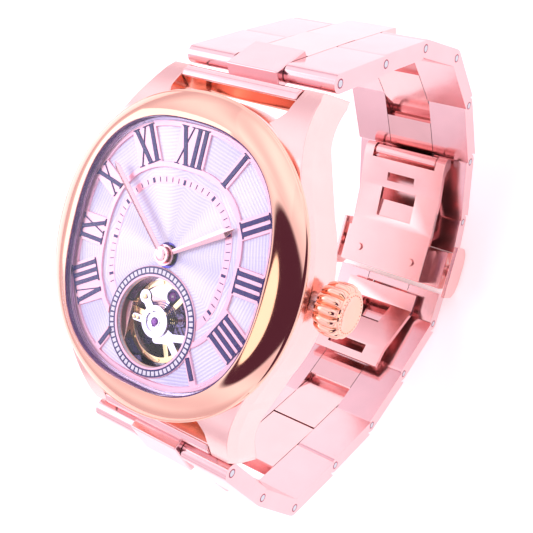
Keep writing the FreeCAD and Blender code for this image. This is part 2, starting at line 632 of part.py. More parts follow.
def numerals():
    """Nine hour numerals, feet to the centre; five and seven keep one stem each beside the window."""
    marks = []
    for hour, word in WORDS.items():
        x = -sum(LETTER_WIDTH[kind] for kind in word) / 2
        angle = -hour_turn(hour)
        c, s = abs(math.sin(math.radians(angle))), abs(math.cos(math.radians(angle)))
        inner = ((c / (TRACK_A + 2.5)) ** TRACK_N + (s / (TRACK_B + 2.5)) ** TRACK_N) ** (-1 / TRACK_N)
        outer = ((c / (MOUTH_A - 1.2)) ** MOUTH_N + (s / (MOUTH_B - 1.2)) ** MOUTH_N) ** (-1 / MOUTH_N)
        height = outer - inner - 0.5
        bars = []
        for kind in word:
            bars += letter(kind, x + LETTER_WIDTH[kind] / 2, height)
            x += LETTER_WIDTH[kind]
        body = bars[0].fuse(bars[1:])
        body.translate(Vector(0, (inner + outer) / 2, 0))
        body.rotate(Vector(0, 0, 0), Vector(0, 0, 1), angle)
        marks.append(body)
    for turn in STEM_TURNS.values():
        body = stroke(0, STEM_LOW, 0, STEM_HIGH, NUMERAL_STROKE)
        body.rotate(Vector(0, 0, 0), Vector(0, 0, 1), -turn)
        marks.append(body)
    return marks


def hand(length, angle, z, hub_r, bore_r, width):
    """Slim leaf with a tail, turned clockwise from 12."""
    points = [(-0.35, -1.6), (-width * 0.6, 0), (-width * 0.55, 2.0), (-width * 0.5, length * 0.62), (0, length),
              (width * 0.5, length * 0.62), (width * 0.55, 2.0), (width * 0.6, 0), (0.35, -1.6)]
    body = outline(points, z, z + HAND_THICK)
    body = body.fuse(disc(hub_r, z - 0.1, z + HAND_THICK + 0.05))
    body = body.cut(disc(bore_r, z - 1, z + 2))
    body.rotate(Vector(0, 0, 0), Vector(0, 0, 1), -angle)
    return body


# ------------------------------------------------------------------ movement

def gear(teeth, module, z0, z1, x, y, bore, phase=0.0):
    """Spur gear with slim straight-flanked teeth, so that it runs with backlash."""
    pitch_r = teeth * module / 2
    tip_r, root_r = pitch_r + 0.75 * module, pitch_r - 1.15 * module
    half_step = math.pi / teeth
    points = []
    for i in range(teeth):
        centre = math.radians(phase) + 2 * half_step * i
        for r, share in ((root_r, -0.40), (tip_r, -0.13), (tip_r, 0.13), (root_r, 0.40)):
            a = centre + share * half_step * 2 * 0.8
            points.append((x + r * math.cos(a), y + r * math.sin(a)))
    body = outline(points, z0, z1)
    if bore:
        body = body.cut(disc(bore, z0 - 1, z1 + 1, x, y))
    return body


def mesh_phase(teeth, toward):
    """Phase in degrees that puts a gap of the gear on the line at the angle toward."""
    return toward + 180.0 / teeth


class Train:
    """Places of the going train and of the motion work, each from its pair's teeth."""

    def __init__(self):
        self.centre = (0.0, 0.0)
        self.balance = (0.0, WINDOW_Y)
        self.pallet = (-0.4, WINDOW_Y + 3.42)
        self.escape = polar(PALLET_REACH, 52, *self.pallet)
        self.fourth = polar((FOURTH_TEETH + ESCAPE_LEAVES) * FOURTH_MODULE / 2, 10, *self.escape)
        third_r = (CENTRE_TEETH + THIRD_LEAVES) * CENTRE_MODULE / 2
        link_r = (THIRD_TEETH + FOURTH_LEAVES) * THIRD_MODULE / 2
        far = math.hypot(*self.fourth)
        turn = math.acos((third_r ** 2 + far ** 2 - link_r ** 2) / (2 * third_r * far))
        self.third = polar(third_r, math.degrees(math.atan2(self.fourth[1], self.fourth[0]) + turn))
        self.barrel = polar((BARREL_TEETH + CENTRE_LEAVES) * BARREL_MODULE / 2, 145)
        reach = (CANNON_LEAVES + MINUTE_TEETH) * CANNON_MODULE / 2
        self.minute = polar(reach, 100)
        self.hour_module = 2 * reach / (MINUTE_LEAVES + HOUR_TEETH)


def angle_to(a, b):
    return math.degrees(math.atan2(b[1] - a[1], b[0] - a[0]))


def arbor(at, z0, z1, r=ARBOR_R):
    return disc(r, z0, z1, at[0], at[1])


def spoked(wheel, at, r_out, r_in, z0, z1, arms):
    """Opens a wheel between its rim and hub, leaving straight arms."""
    gap = ring(r_out, r_in, z0 - 1, z1 + 1, at[0], at[1])
    for i in range(arms):
        x, y = polar(r_out + 1, i * 360 / arms, *at)
        gap = gap.cut(bar(at[0], at[1], x, y, 0.34, z0 - 2, z1 + 2))
    return wheel.cut(gap)


def going_train(t):
    """Barrel to escape wheel: every wheel gaps its pinion's leaf on the line of centres."""
    low = BRIDGE_Z0 + 0.4
    high = PLATE_Z0 + 0.6
    phase = mesh_phase(BARREL_TEETH, angle_to(t.barrel, t.centre))
    barrel_r = BARREL_TEETH * BARREL_MODULE / 2
    barrel = gear(BARREL_TEETH, BARREL_MODULE, BARREL_Z0, BARREL_Z1, *t.barrel, 0, phase)
    barrel = barrel.fuse(disc(barrel_r - 0.4, BARREL_Z0, BARREL_COVER_Z, *t.barrel))
    barrel = barrel.cut(disc(barrel_r - 0.8, BARREL_Z0 + 0.25, BARREL_COVER_Z - 0.25, *t.barrel))
    barrel = barrel.cut(arbor(t.barrel, 0, PLATE_Z1, 0.6 + CLEAR))
    save("barrel", barrel)
    spring_z0, spring_z1 = BARREL_Z0 + 0.35, BARREL_COVER_Z - 0.35
    spring = ring(4.3, 3.4, spring_z0, spring_z1, *t.barrel)
    post = arbor(t.barrel, low, high, 0.6).fuse(disc(1.1, spring_z0, spring_z1, *t.barrel))
    save("barrel_arbor", post, spring)
    # centre wheel
    pinion = gear(CENTRE_LEAVES, BARREL_MODULE, BARREL_Z0 - 0.05, BARREL_Z1 + 0.2, 0, 0, 0, angle_to(t.centre, t.barrel))
    z0, z1 = CENTRE_WHEEL_Z, CENTRE_WHEEL_Z + CENTRE_WHEEL_THICK
    wheel = gear(CENTRE_TEETH, CENTRE_MODULE, z0, z1, 0, 0, 0, mesh_phase(CENTRE_TEETH, angle_to(t.centre, t.third)))
    wheel = spoked(wheel, (0, 0), 2.9, 0.9, z0, z1, 5)
    body = wheel.fuse([pinion, arbor(t.centre, low, MINUTE_HAND_Z - 0.2, CENTRE_ARBOR_R)])
    save("centre_wheel", body)
    # third wheel
    pinion = gear(THIRD_LEAVES, CENTRE_MODULE, z0 - 0.1, z1 + 0.15, *t.third, 0, angle_to(t.third, t.centre))
    z0, z1 = THIRD_WHEEL_Z, THIRD_WHEEL_Z + THIN_WHEEL
    wheel = gear(THIRD_TEETH, THIRD_MODULE, z0, z1, *t.third, 0, mesh_phase(THIRD_TEETH, angle_to(t.third, t.fourth)))
    wheel = spoked(wheel, t.third, 2.4, 0.6, z0, z1, 4)
    save("third_wheel", wheel.fuse([pinion, arbor(t.third, low, high)]))
    # fourth wheel
    pinion = gear(FOURTH_LEAVES, THIRD_MODULE, z0 - 0.15, z1 + 0.15, *t.fourth, 0, angle_to(t.fourth, t.third))
    z0, z1 = FOURTH_WHEEL_Z, FOURTH_WHEEL_Z + THIN_WHEEL
    wheel = gear(FOURTH_TEETH, FOURTH_MODULE, z0, z1, *t.fourth, 0, mesh_phase(FOURTH_TEETH, angle_to(t.fourth, t.escape)))
    wheel = spoked(wheel, t.fourth, 2.35, 0.6, z0, z1, 4)
    save("fourth_wheel", wheel.fuse([pinion, arbor(t.fourth, low, high)]))
    # escape wheel: hooked teeth
    pinion = gear(ESCAPE_LEAVES, FOURTH_MODULE, z0 - 0.1, z1 + 0.15, *t.escape, 0, angle_to(t.escape, t.fourth))
    z0, z1 = ESCAPE_WHEEL_Z, ESCAPE_WHEEL_Z + THIN_WHEEL
    points = []
    for i in range(ESCAPE_TEETH):
        a = 360 * i / ESCAPE_TEETH
        for r, shift in ((ESCAPE_R - 0.5, 0), (ESCAPE_R, 7), (ESCAPE_R, 8.5), (ESCAPE_R - 0.5, 6)):
            points.append(polar(r, a + shift, *t.escape))
    wheel = outline(points, z0, z1)
    wheel = spoked(wheel, t.escape, 1.55, 0.5, z0, z1, 4)
    save("escape_wheel", wheel.fuse([pinion, arbor(t.escape, low, high)]))


def pallet_fork(t):
    """Lever with two pallet arms that stand just clear of the escape wheel's tips."""
    z0, z1 = ESCAPE_WHEEL_Z, ESCAPE_WHEEL_Z + THIN_WHEEL
    out = angle_to(t.escape, t.pallet)
    tail = angle_to(t.pallet, t.balance)
    reach = math.dist(t.pallet, t.balance) - 0.75
    tip = polar(reach, tail, *t.pallet)
    body = bar(t.pallet[0], t.pallet[1], tip[0], tip[1], 0.35, z0, z1)
    for turn in (38, -38):
        at = polar(ESCAPE_R + 0.3, out + turn, *t.escape)
        body = body.fuse(bar(t.pallet[0], t.pallet[1], at[0], at[1], 0.4, z0, z1))
    return body.fuse(arbor(t.pallet, ESCAPE_WHEEL_Z - 0.6, PLATE_Z0 + 0.6))


def balance_wheel(t):
    x, y = t.balance
    z0, z1 = BALANCE_Z, BALANCE_Z + BALANCE_THICK
    body = ring(BALANCE_R, BALANCE_R - 0.75, z0, z1, x, y)
    hub = disc(0.9, z0, z1, x, y)
    arms = []
    for i in range(3):
        ex, ey = polar(BALANCE_R - 0.4, 57 + 120 * i, x, y)
        arms.append(bar(x, y, ex, ey, 0.75, z0 + 0.1, z1 - 0.15))
    staff = arbor(t.balance, BRIDGE_Z0 + 1.9, BRIDGE_FRONT_Z + 0.3)
    roller = disc(0.55, ESCAPE_WHEEL_Z - 0.2, ESCAPE_WHEEL_Z + 0.35, x, y)
    return body.fuse(arms + [hub, staff, roller])


def hairspring(t):
    """Flat spiral coil drawn as two turns of closely spaced rings joined at one spoke."""
    x, y = t.balance
    z0, z1 = BALANCE_Z + BALANCE_THICK + 0.08, BALANCE_Z + BALANCE_THICK + 0.24
    coils = [ring(0.9 + 0.45 * i, 0.82 + 0.45 * i, z0, z1, x, y) for i in range(5)]
    tie = block(x + 0.6, x + 2.7, y - 0.06, y + 0.06, z0, z1)
    collet = ring(0.6, ARBOR_R, z0, z1, x, y)
    return coils[0].fuse(coils[1:] + [tie.cut(disc(ARBOR_R + 0.2, 0, 20, x, y)), collet])


def main_plate(t):
    body = disc(PLATE_R, PLATE_Z0, PLATE_Z1)
    body = body.cut(disc(PIT_R, 0, 20, *t.balance))
    body = body.cut(escape_blank(t, CLEAR).translated(Vector(0, 0, -CLEAR)))
    body = body.cut(arbor(t.centre, 0, 20, CENTRE_ARBOR_R + CLEAR))
    body = body.cut(arbor(t.barrel, 0, PLATE_Z0 + 0.8, 0.6 + CLEAR))
    for at in (t.third, t.fourth):
        body = body.cut(disc(JEWEL_R, 0, PLATE_Z0 + JEWEL_THICK + 0.3, *at))
    post = disc(0.3, PLATE_Z1, PLATE_Z1 + 1.1, *t.minute)
    return body.fuse(post)


def train_bridge(t):
    body = disc(PLATE_R - 0.6, BRIDGE_Z0, BRIDGE_Z1)
    body = body.cut(disc(4.2, 0, 20, -7.2, -6.2))
    body = body.cut(arbor(t.barrel, 0, 20, 0.6 + CLEAR))
    body = body.cut(arbor(t.centre, 0, 20, CENTRE_ARBOR_R + CLEAR))
    for at in (t.third, t.fourth, t.escape):
        body = body.cut(disc(JEWEL_R, 0, BRIDGE_Z1 + 1, *at))
    cock = bar(t.balance[0] - 5.0, t.balance[1] - 1.6, *t.balance, 2.0, BRIDGE_Z1, BRIDGE_Z1 + 0.9)
    body = body.fuse(cock).cut(disc(JEWEL_R, BRIDGE_Z1 + 0.4, 20, *t.balance))
    body = body.cut(disc(ARBOR_R + CLEAR, BRIDGE_Z1 - 1.3, 20, *t.balance))
    pillars = [disc(0.9, BRIDGE_Z1, PLATE_Z0, *polar(PLATE_R - 1.8, a)) for a in (20, 90, 195, 255, 325)]
    return body.fuse(pillars)


def escape_blank(t, grow):
    """Outline of the dial-side cock for the escape wheel and the pallet fork, grown all round."""
    z0, z1 = PLATE_Z0, PLATE_Z0 + 0.7 + grow
    root = polar(PIT_R + 1.5, angle_to(t.balance, t.escape), *t.balance)
    lobe = bar(*t.pallet, *t.escape, 1.9 + 2 * grow, z0, z1)
    return lobe.fuse(bar(*t.escape, *root, 2.0 + 2 * grow, z0, z1))


def escape_bridge(t):
    body = escape_blank(t, 0)
    for at in (t.escape, t.pallet):
        body = body.cut(disc(JEWEL_R, 0, 20, *at))
    return body


def jewels(t):
    """Ruby rings in the bridge, the plate and the cocks, each bored for its pivot."""
    rings = [ring(JEWEL_R, ARBOR_R + CLEAR, BRIDGE_Z0 + 0.4, BRIDGE_Z0 + 0.4 + JEWEL_THICK, *at)
             for at in (t.third, t.fourth, t.escape)]
    rings += [ring(JEWEL_R, ARBOR_R + CLEAR, PLATE_Z0 + 0.25, PLATE_Z0 + 0.25 + JEWEL_THICK, *at)
              for at in (t.third, t.fourth, t.escape, t.pallet)]
    rings.append(ring(JEWEL_R, ARBOR_R + CLEAR, BRIDGE_Z1 + 0.5, BRIDGE_Z1 + 0.85, *t.balance))
    rings.append(ring(0.75, ARBOR_R + CLEAR, BRIDGE_FRONT_Z + 0.1, BRIDGE_FRONT_Z + 0.4, *t.balance))
    return rings


def balance_bridge(t):
    """Silver bridge in front of the balance: ring, junction and a forked arm with two feet."""
    x, y = t.balance
    z0, z1 = BRIDGE_FRONT_Z, BRIDGE_FRONT_Z + BRIDGE_FRONT_THICK
    parts = [
        disc(1.95, z0, z1 - 0.15, x, y),
        bar(x + 1.5, y - 0.9, x + 2.9, y - 1.35, 1.5, z0, z1 - 0.15),
        bar(x + 0.7, y - 2.3, x + 2.9, y - 1.7, 1.1, z0, z1 - 0.15),
        bar(x + 2.9, y - 1.35, x + 7.2, y - 0.3, 1.05, z0, z1 - 0.15),
        bar(x + 2.9, y - 1.7, x + 5.6, y - 4.1, 1.05, z0, z1 - 0.15),
        disc(0.5, PLATE_Z1, z0, x + 7.2, y - 0.3),
        disc(0.5, PLATE_Z1, z0, x + 5.6, y - 4.15),
    ]
    body = parts[0].fuse(parts[1:])
    return body.cut(disc(0.75, 0, 20, x, y))


def regulator(t):
    """Index ring with the stud arm upwards and the regulating arm to the left, each with its screw."""
    x, y = t.balance
    z0, z1 = BRIDGE_FRONT_Z + BRIDGE_FRONT_THICK - 0.15, BRIDGE_FRONT_Z + BRIDGE_FRONT_THICK + 0.15
    body = ring(2.25, 1.5, z0, z1, x, y)
    body = body.fuse([
        bar(x - 1.2, y + 1.55, x - 2.5, y + 2.85, 1.25, z0, z1),
        disc(0.95, z0, z1, x - 2.5, y + 2.85),
        bar(x - 1.9, y - 0.3, x - 3.5, y - 0.35, 0.95, z0, z1),
    ])
    screws = [disc(0.42, z1, z1 + 0.1, x - 2.5, y + 2.85), disc(0.3, z1, z1 + 0.08, x - 2.9, y - 0.33),
              disc(0.3, z1, z1 + 0.08, x - 3.6, y - 0.36)]
    return [body] + screws


def shock_setting(t):
    """Round setting with a lyre spring over the end stone."""
    x, y = t.balance
    z0 = BRIDGE_FRONT_Z + BRIDGE_FRONT_THICK - 0.15
    cup = ring(1.35, 0.8, z0, z0 + 0.12, x, y)
    lyre = ring(0.8, 0.62, z0 + 0.12, z0 + 0.2, x, y).cut(block(x - 0.3, x + 0.3, y - 1, y, 0, 20))
    lyre = lyre.fuse(bar(x - 0.75, y + 0.3, x - 1.15, y + 0.55, 0.2, z0 + 0.12, z0 + 0.2))
    lyre = lyre.fuse(bar(x + 0.75, y + 0.3, x + 1.15, y + 0.55, 0.2, z0 + 0.12, z0 + 0.2))
    return [cup, lyre]


def motion_work(t):
    """Cannon pinion, minute wheel and hour wheel under the dial, twelve to one."""
    base = PLATE_Z1
    phase = angle_to(t.centre, t.minute)
    cannon = gear(CANNON_LEAVES, CANNON_MODULE, base + 0.1, base + 0.5, 0, 0, 0, phase)
    cannon = cannon.fuse(disc(0.68, base + 0.1, MINUTE_HAND_Z + HAND_THICK)).cut(arbor(t.centre, 0, 20, CENTRE_ARBOR_R + CLEAR))
    save("cannon_pinion", cannon)
    back = angle_to(t.minute, t.centre)
    minute = gear(MINUTE_TEETH, CANNON_MODULE, base + 0.15, base + 0.4, *t.minute, 0, mesh_phase(MINUTE_TEETH, back))
    minute = minute.fuse(gear(MINUTE_LEAVES, t.hour_module, base + 0.4, base + 0.95, *t.minute, 0, back))
    save("minute_wheel", minute.cut(arbor(t.minute, 0, 20, 0.3 + CLEAR)))
    hour = gear(HOUR_TEETH, t.hour_module, base + 0.65, base + 0.9, 0, 0, 0, mesh_phase(HOUR_TEETH, phase))
    hour = hour.fuse(disc(1.05, base + 0.65, HOUR_HAND_Z + HAND_THICK)).cut(arbor(t.centre, 0, 20, 0.68 + CLEAR))
    save("hour_wheel", hour)


def movement_ring(t):
    """Holder that centres the movement and carries the dial."""
    r = PLATE_R + PART_GAP
    body = disc(r + 0.7, BACK_THICK + 1.0, CASE_TOP).fuse(
        oval(MOUTH_A + DIAL_MARGIN, MOUTH_B + DIAL_MARGIN, MOUTH_N, CASE_TOP, DIAL_Z - DIAL_THICK))
    body = body.cut(disc(r, 0, 20))
    body = body.cut(disc(PIT_R, PLATE_Z0, 20, *t.balance))
    return body.cut(rod(STEM_R + 0.3, 0, 30, 0, CROWN_Z))


# ------------------------------------------------------------------ crown

def crown():
    body = rod(CROWN_R, CROWN_IN_X, CROWN_OUT_X, 0, CROWN_Z)
    body = body.cut(rod(TUBE_R + CLEAR, CROWN_IN_X - 1, CROWN_IN_X + 1.6, 0, CROWN_Z))
    for i in range(CROWN_FLUTES):
        y, z = polar(CROWN_R + 0.25, 360 * i / CROWN_FLUTES, 0, CROWN_Z)
        body = body.cut(rod(0.5, CROWN_IN_X - 1, CROWN_OUT_X + 1, y, z))
    boss = rod(CROWN_R - 0.75, CROWN_OUT_X - 0.25, CROWN_OUT_X, 0, CROWN_Z)
    groove = rod(CROWN_R + 1, CROWN_OUT_X - 0.25, CROWN_OUT_X + 1, 0, CROWN_Z)
    return body.cut(groove).fuse(boss)


def winding_stem():
    body = rod(STEM_R, 9.5, CROWN_IN_X + 1.6, 0, CROWN_Z)
    return body.cut(rod(2, 11.0, 11.6, 0, CROWN_Z).cut(rod(0.35, 10, 12, 0, CROWN_Z)))


def setting_lever():
    body = block(11.1, 11.5, -1.5, 1.5, CROWN_Z - 0.9, PLATE_Z0 - PART_GAP)
    return body.cut(block(11, 12, -0.4, 0.4, CROWN_Z, PLATE_Z0)).cut(rod(0.4, 11, 12, 0, CROWN_Z))


def build():
    os.makedirs("parts", exist_ok=True)
    t = Train()
    save("mid_case", mid_case())
    save("bezel", bezel())
    save("rehaut", rehaut())
    save("crystal", crystal())
    seal = ring(BACK_OPENING_R + 1.2, BACK_OPENING_R + 0.4, BACK_THICK - 0.6, BACK_THICK)
    save("gaskets", oval_ring(MOUTH_A, MOUTH_B, MOUTH_N, GASKET, DIAL_Z + FLANGE_HEIGHT + CLEAR, BEZEL_TOP - 0.2), seal)
    save("case_back", case_back())
    save("back_glass", disc(BACK_GLASS_R, 0, BACK_GLASS_THICK))
    save("back_screws", *back_screws())
    save("dial", dial())
    save("chapter_frame", chapter_frame())
    save("numerals", *numerals())
    save("window_ring", ring(WINDOW_R + 1.5, WINDOW_R, DIAL_Z, DIAL_Z + 0.25, 0, WINDOW_Y))
    hour_hub = hand(HOUR_LENGTH, HOUR_ANGLE, HOUR_HAND_Z, 1.5, 1.05, 1.5)
    save("hour_hand", hour_hub)
    save("minute_hand", hand(MINUTE_LENGTH, MINUTE_ANGLE, MINUTE_HAND_Z, 1.2, 0.68, 1.25))
    motion_work(t)
    save("movement_ring", movement_ring(t))
    save("main_plate", main_plate(t))
    save("train_bridge", train_bridge(t))
    save("escape_bridge", escape_bridge(t))
    save("balance_bridge", balance_bridge(t))
    save("regulator", *regulator(t), *shock_setting(t))
    save("jewels", *jewels(t))
    going_train(t)
    save("pallet_fork", pallet_fork(t))
    save("balance_wheel", balance_wheel(t))
    save("hairspring", hairspring(t))
    save("crown_tube", rod(TUBE_R, PLATE_R + 2.5, CROWN_IN_X + 1.4, 0, CROWN_Z).cut(rod(STEM_R + CLEAR, 0, 30, 0, CROWN_Z)))
    save("crown", crown().cut(rod(STEM_R, 0, CROWN_IN_X + 1.6, 0, CROWN_Z)))
    save("winding_stem", winding_stem())
    save("setting_lever", setting_lever())
    save("end_link_12", end_link(1, PIN_12, TONGUE_TILT))
    save("end_link_6", end_link(-1, PIN_6, TONGUE_TILT))
    bars = [rod(SPRING_BAR_R, -LUG_GAP / 2 - 1.4, LUG_GAP / 2 + 1.4, s * SPRING_BAR_Y, SPRING_BAR_Z) for s in (1, -1)]
    save("spring_bars", *bars)
    upper = bracelet_half("12", PIN_12, TILT_12, 1)
    lower = bracelet_half("6", PIN_6, TILT_6, -1)
    clasp(upper, lower)


build()
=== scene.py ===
"""Finish of a rose gold wristwatch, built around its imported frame.

Every shape is worked out in millimetres in the watch's own frame (+Z out of the dial, +Y to 12 o'clock, +X to
3 o'clock, origin at the middle of the case back) and is stored in metres with its object at the origin.
"""

import json
import logging
import math
from dataclasses import dataclass, field
from enum import Enum

import bmesh
import bpy
import numpy as np
from mathutils import Matrix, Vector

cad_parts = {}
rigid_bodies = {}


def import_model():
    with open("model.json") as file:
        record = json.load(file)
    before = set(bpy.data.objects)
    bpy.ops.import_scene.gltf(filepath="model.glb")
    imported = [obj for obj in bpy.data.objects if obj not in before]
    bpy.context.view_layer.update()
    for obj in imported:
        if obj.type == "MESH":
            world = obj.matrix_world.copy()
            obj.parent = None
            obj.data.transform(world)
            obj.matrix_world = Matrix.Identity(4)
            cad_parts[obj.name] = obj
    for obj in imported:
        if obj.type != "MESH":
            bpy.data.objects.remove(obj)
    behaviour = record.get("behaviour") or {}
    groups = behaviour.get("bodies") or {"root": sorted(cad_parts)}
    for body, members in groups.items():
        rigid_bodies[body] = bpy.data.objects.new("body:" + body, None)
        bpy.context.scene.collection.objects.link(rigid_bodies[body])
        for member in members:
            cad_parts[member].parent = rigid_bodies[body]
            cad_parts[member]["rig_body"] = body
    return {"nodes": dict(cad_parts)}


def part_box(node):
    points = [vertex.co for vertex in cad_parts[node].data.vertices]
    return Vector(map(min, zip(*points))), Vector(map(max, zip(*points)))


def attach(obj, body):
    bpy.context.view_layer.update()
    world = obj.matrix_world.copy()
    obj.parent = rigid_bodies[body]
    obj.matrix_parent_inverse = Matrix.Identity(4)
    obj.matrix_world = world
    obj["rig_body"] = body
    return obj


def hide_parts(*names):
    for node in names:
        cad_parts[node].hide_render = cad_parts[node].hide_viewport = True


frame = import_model()

LOG = logging.getLogger("watch")
MM = 0.001
Pair = tuple[float, float]
Triple = tuple[float, float, float]
Colour = Triple


# ---- shader helpers


class Wire:
    """An output socket; arithmetic on it adds Math nodes to its tree."""

    def __init__(self, tree: bpy.types.NodeTree, socket: bpy.types.NodeSocket) -> None:
        """Keep the tree and the socket."""
        self.tree = tree
        self.socket = socket

    def math(self, operation: str, *values: "Wire | float") -> "Wire":
        """Add one Math node.

        Args:
            operation: the node's operation name.
            values: numbers or wires for its sockets, in order.

        Returns:
            The node's result.
        """
        node = self.tree.nodes.new("ShaderNodeMath")
        node.operation = operation
        for slot, value in zip(node.inputs, values):
            if isinstance(value, Wire):
                self.tree.links.new(value.socket, slot)
            else:
                slot.default_value = value
        return Wire(self.tree, node.outputs[0])

    def __add__(self, other: "Wire | float") -> "Wire":
        """Sum."""
        return self.math("ADD", self, other)

    def __sub__(self, other: "Wire | float") -> "Wire":
        """Difference."""
        return self.math("SUBTRACT", self, other)

    def __mul__(self, other: "Wire | float") -> "Wire":
        """Product."""
        return self.math("MULTIPLY", self, other)

    def __pow__(self, other: float) -> "Wire":
        """Power."""
        return self.math("POWER", self, other)

    def sine(self) -> "Wire":
        """Sine of an angle in radians."""
        return self.math("SINE", self)

    def size(self) -> "Wire":
        """Absolute value."""
        return self.math("ABSOLUTE", self)

    def clamped(self) -> "Wire":
        """Value held between nought and one."""
        return self.math("MAXIMUM", self.math("MINIMUM", self, 1.0), 0.0)


class Paint:
    """Node tree of a material or of the world."""

    def __init__(self, owner: bpy.types.Material | bpy.types.World) -> None:
        """Empty the owner's tree."""
        self.owner = owner
        owner.use_nodes = True
        self.tree = owner.node_tree
        self.tree.nodes.clear()

    def node(self, kind: str, inputs: dict | None = None, **settings: str) -> bpy.types.Node:
        """Add any node.

        Args:
            kind: the node's type name after "ShaderNode".
            inputs: socket name or number to a wire or a plain value.
            settings: attributes, set first.

        Returns:
            The new node.
        """
        node = self.tree.nodes.new("ShaderNode" + kind)
        for key, value in settings.items():
            setattr(node, key, value)
        for key, value in (inputs or {}).items():
            if isinstance(value, Wire):
                self.tree.links.new(value.socket, node.inputs[key])
            else:
                node.inputs[key].default_value = value
        return node

    def wire(self, node: bpy.types.Node, output: str | int = 0) -> Wire:
        """One output of a node as a wire."""
        return Wire(self.tree, node.outputs[output])

    def object_vector(self) -> Wire:
        """Object coordinates, in metres."""
        return self.wire(self.node("TexCoord"), "Object")

    def place(self) -> tuple[Wire, Wire, Wire]:
        """Object coordinates as three wires, in millimetres."""
        split = self.node("SeparateXYZ", {0: self.object_vector()})
        return tuple(self.wire(split, axis) * (1 / MM) for axis in range(3))

    def polar(self, middle: Pair = (0.0, 0.0)) -> tuple[Wire, Wire]:
        """Distance in millimetres and angle in radians about an axis along Z."""
        x, y, _ = self.place()
        x, y = x - middle[0], y - middle[1]
        radius = (x * x + y * y) ** 0.5
        return radius, x.math("ARCTAN2", y, x)

    def noise(self, scale: Triple, detail: float = 2.0) -> Wire:
        """Noise with so many cells to the millimetre along each axis."""
        stretch = tuple(s / MM for s in scale)
        mapped = self.node("Mapping", {"Vector": self.object_vector(), "Scale": stretch})
        inputs = {"Vector": self.wire(mapped), "Scale": 1.0, "Detail": detail}
        return self.wire(self.node("TexNoise", inputs))

    def noise_along(self, value: Wire, scale: float) -> Wire:
        """Noise that changes only with one value."""
        inputs = {"W": value, "Scale": scale, "Detail": 2.0}
        return self.wire(self.node("TexNoise", inputs, noise_dimensions="1D"))

    def dot(self, vector: Wire, direction: Triple) -> Wire:
        """Scalar product of a vector with a fixed direction."""
        inputs = {0: vector, 1: direction}
        return self.wire(self.node("VectorMath", inputs, operation="DOT_PRODUCT"), "Value")

    def mix(self, factor: Wire, first: Colour | Wire, second: Colour | Wire) -> Wire:
        """Blend of two colours."""
        pair = [c if isinstance(c, Wire) else (*c, 1.0) for c in (first, second)]
        node = self.node("Mix", {0: factor, 6: pair[0], 7: pair[1]}, data_type="RGBA")
        return self.wire(node, 2)

    def bump(self, height: Wire, depth: float) -> Wire:
        """Normal from a height between nought and one, so many millimetres deep."""
        node = self.node("Bump", {"Height": height, "Distance": depth * MM, "Strength": 1.0})
        return self.wire(node)

    def surface(self, inputs: dict) -> bpy.types.Material:
        """Principled surface straight to the output."""
        shader = self.node("BsdfPrincipled", inputs)
        self.node("OutputMaterial", {"Surface": self.wire(shader)})
        return self.owner


def shaded(colour: Colour, share: float) -> Colour:
    """Colour times a share, held at one."""
    return tuple(min(1.0, c * share) for c in colour)


# ---- finishes


class Grain(Enum):
    """Direction of the fine lines that finishing leaves in a metal."""

    POLISHED = "polished"
    ALONG_Y = "along y"
    CIRCULAR = "circular"
    SUNRAY = "sunray"
    STRIPES = "stripes"
    SPOTS = "spots"


@dataclass(frozen=True)
class Metal:
    """A metal with its colour, its gloss and its grain."""

    name: str
    colour: Colour
    roughness: float = 0.12
    grain: Grain = Grain.POLISHED
    depth: float = 0.0012
    middle: Pair = (0.0, 0.0)
    tone: float = 0.05

    def height(self, paint: Paint) -> Wire:
        """Height of the grain, from nought to one."""
        if self.grain is Grain.ALONG_Y:
            return paint.noise((14.0, 0.3, 0.3))
        if self.grain is Grain.CIRCULAR:
            return paint.noise_along(paint.polar(self.middle)[0], 12.0)
        if self.grain is Grain.SUNRAY:
            return paint.noise_along(paint.polar(self.middle)[1], 70.0)
        if self.grain is Grain.STRIPES:
            x, y, _ = paint.place()
            return ((x + y) * (math.pi / 1.1)).sine().size()
        if self.grain is Grain.SPOTS:
            inputs = {"Vector": paint.object_vector(), "Scale": 0.9 / MM}
            cells = paint.node("TexVoronoi", inputs)
            return (paint.wire(cells) * 30.0).sine().size()
        return paint.noise((0.35, 0.35, 0.35), 1.0)

    def make(self) -> bpy.types.Material:
        """Build the material: mottled tone, uneven gloss and the grain as relief."""
        paint = Paint(bpy.data.materials.new(self.name))
        cloud = paint.noise((0.25, 0.25, 0.25))
        height = self.height(paint)
        colour = paint.mix(cloud, shaded(self.colour, 1 - self.tone), shaded(self.colour, 1 + self.tone))
        smear = paint.noise((1.1, 1.1, 1.1), 3.0)
        gloss = (smear - 0.5) * 0.06 + self.roughness
        if self.grain is not Grain.POLISHED:
            gloss = gloss + (height - 0.5) * 0.08
        inputs = {"Base Color": colour, "Metallic": 1.0, "Roughness": gloss.clamped()}
        inputs["Normal"] = paint.bump(height, self.depth)
        return paint.surface(inputs)


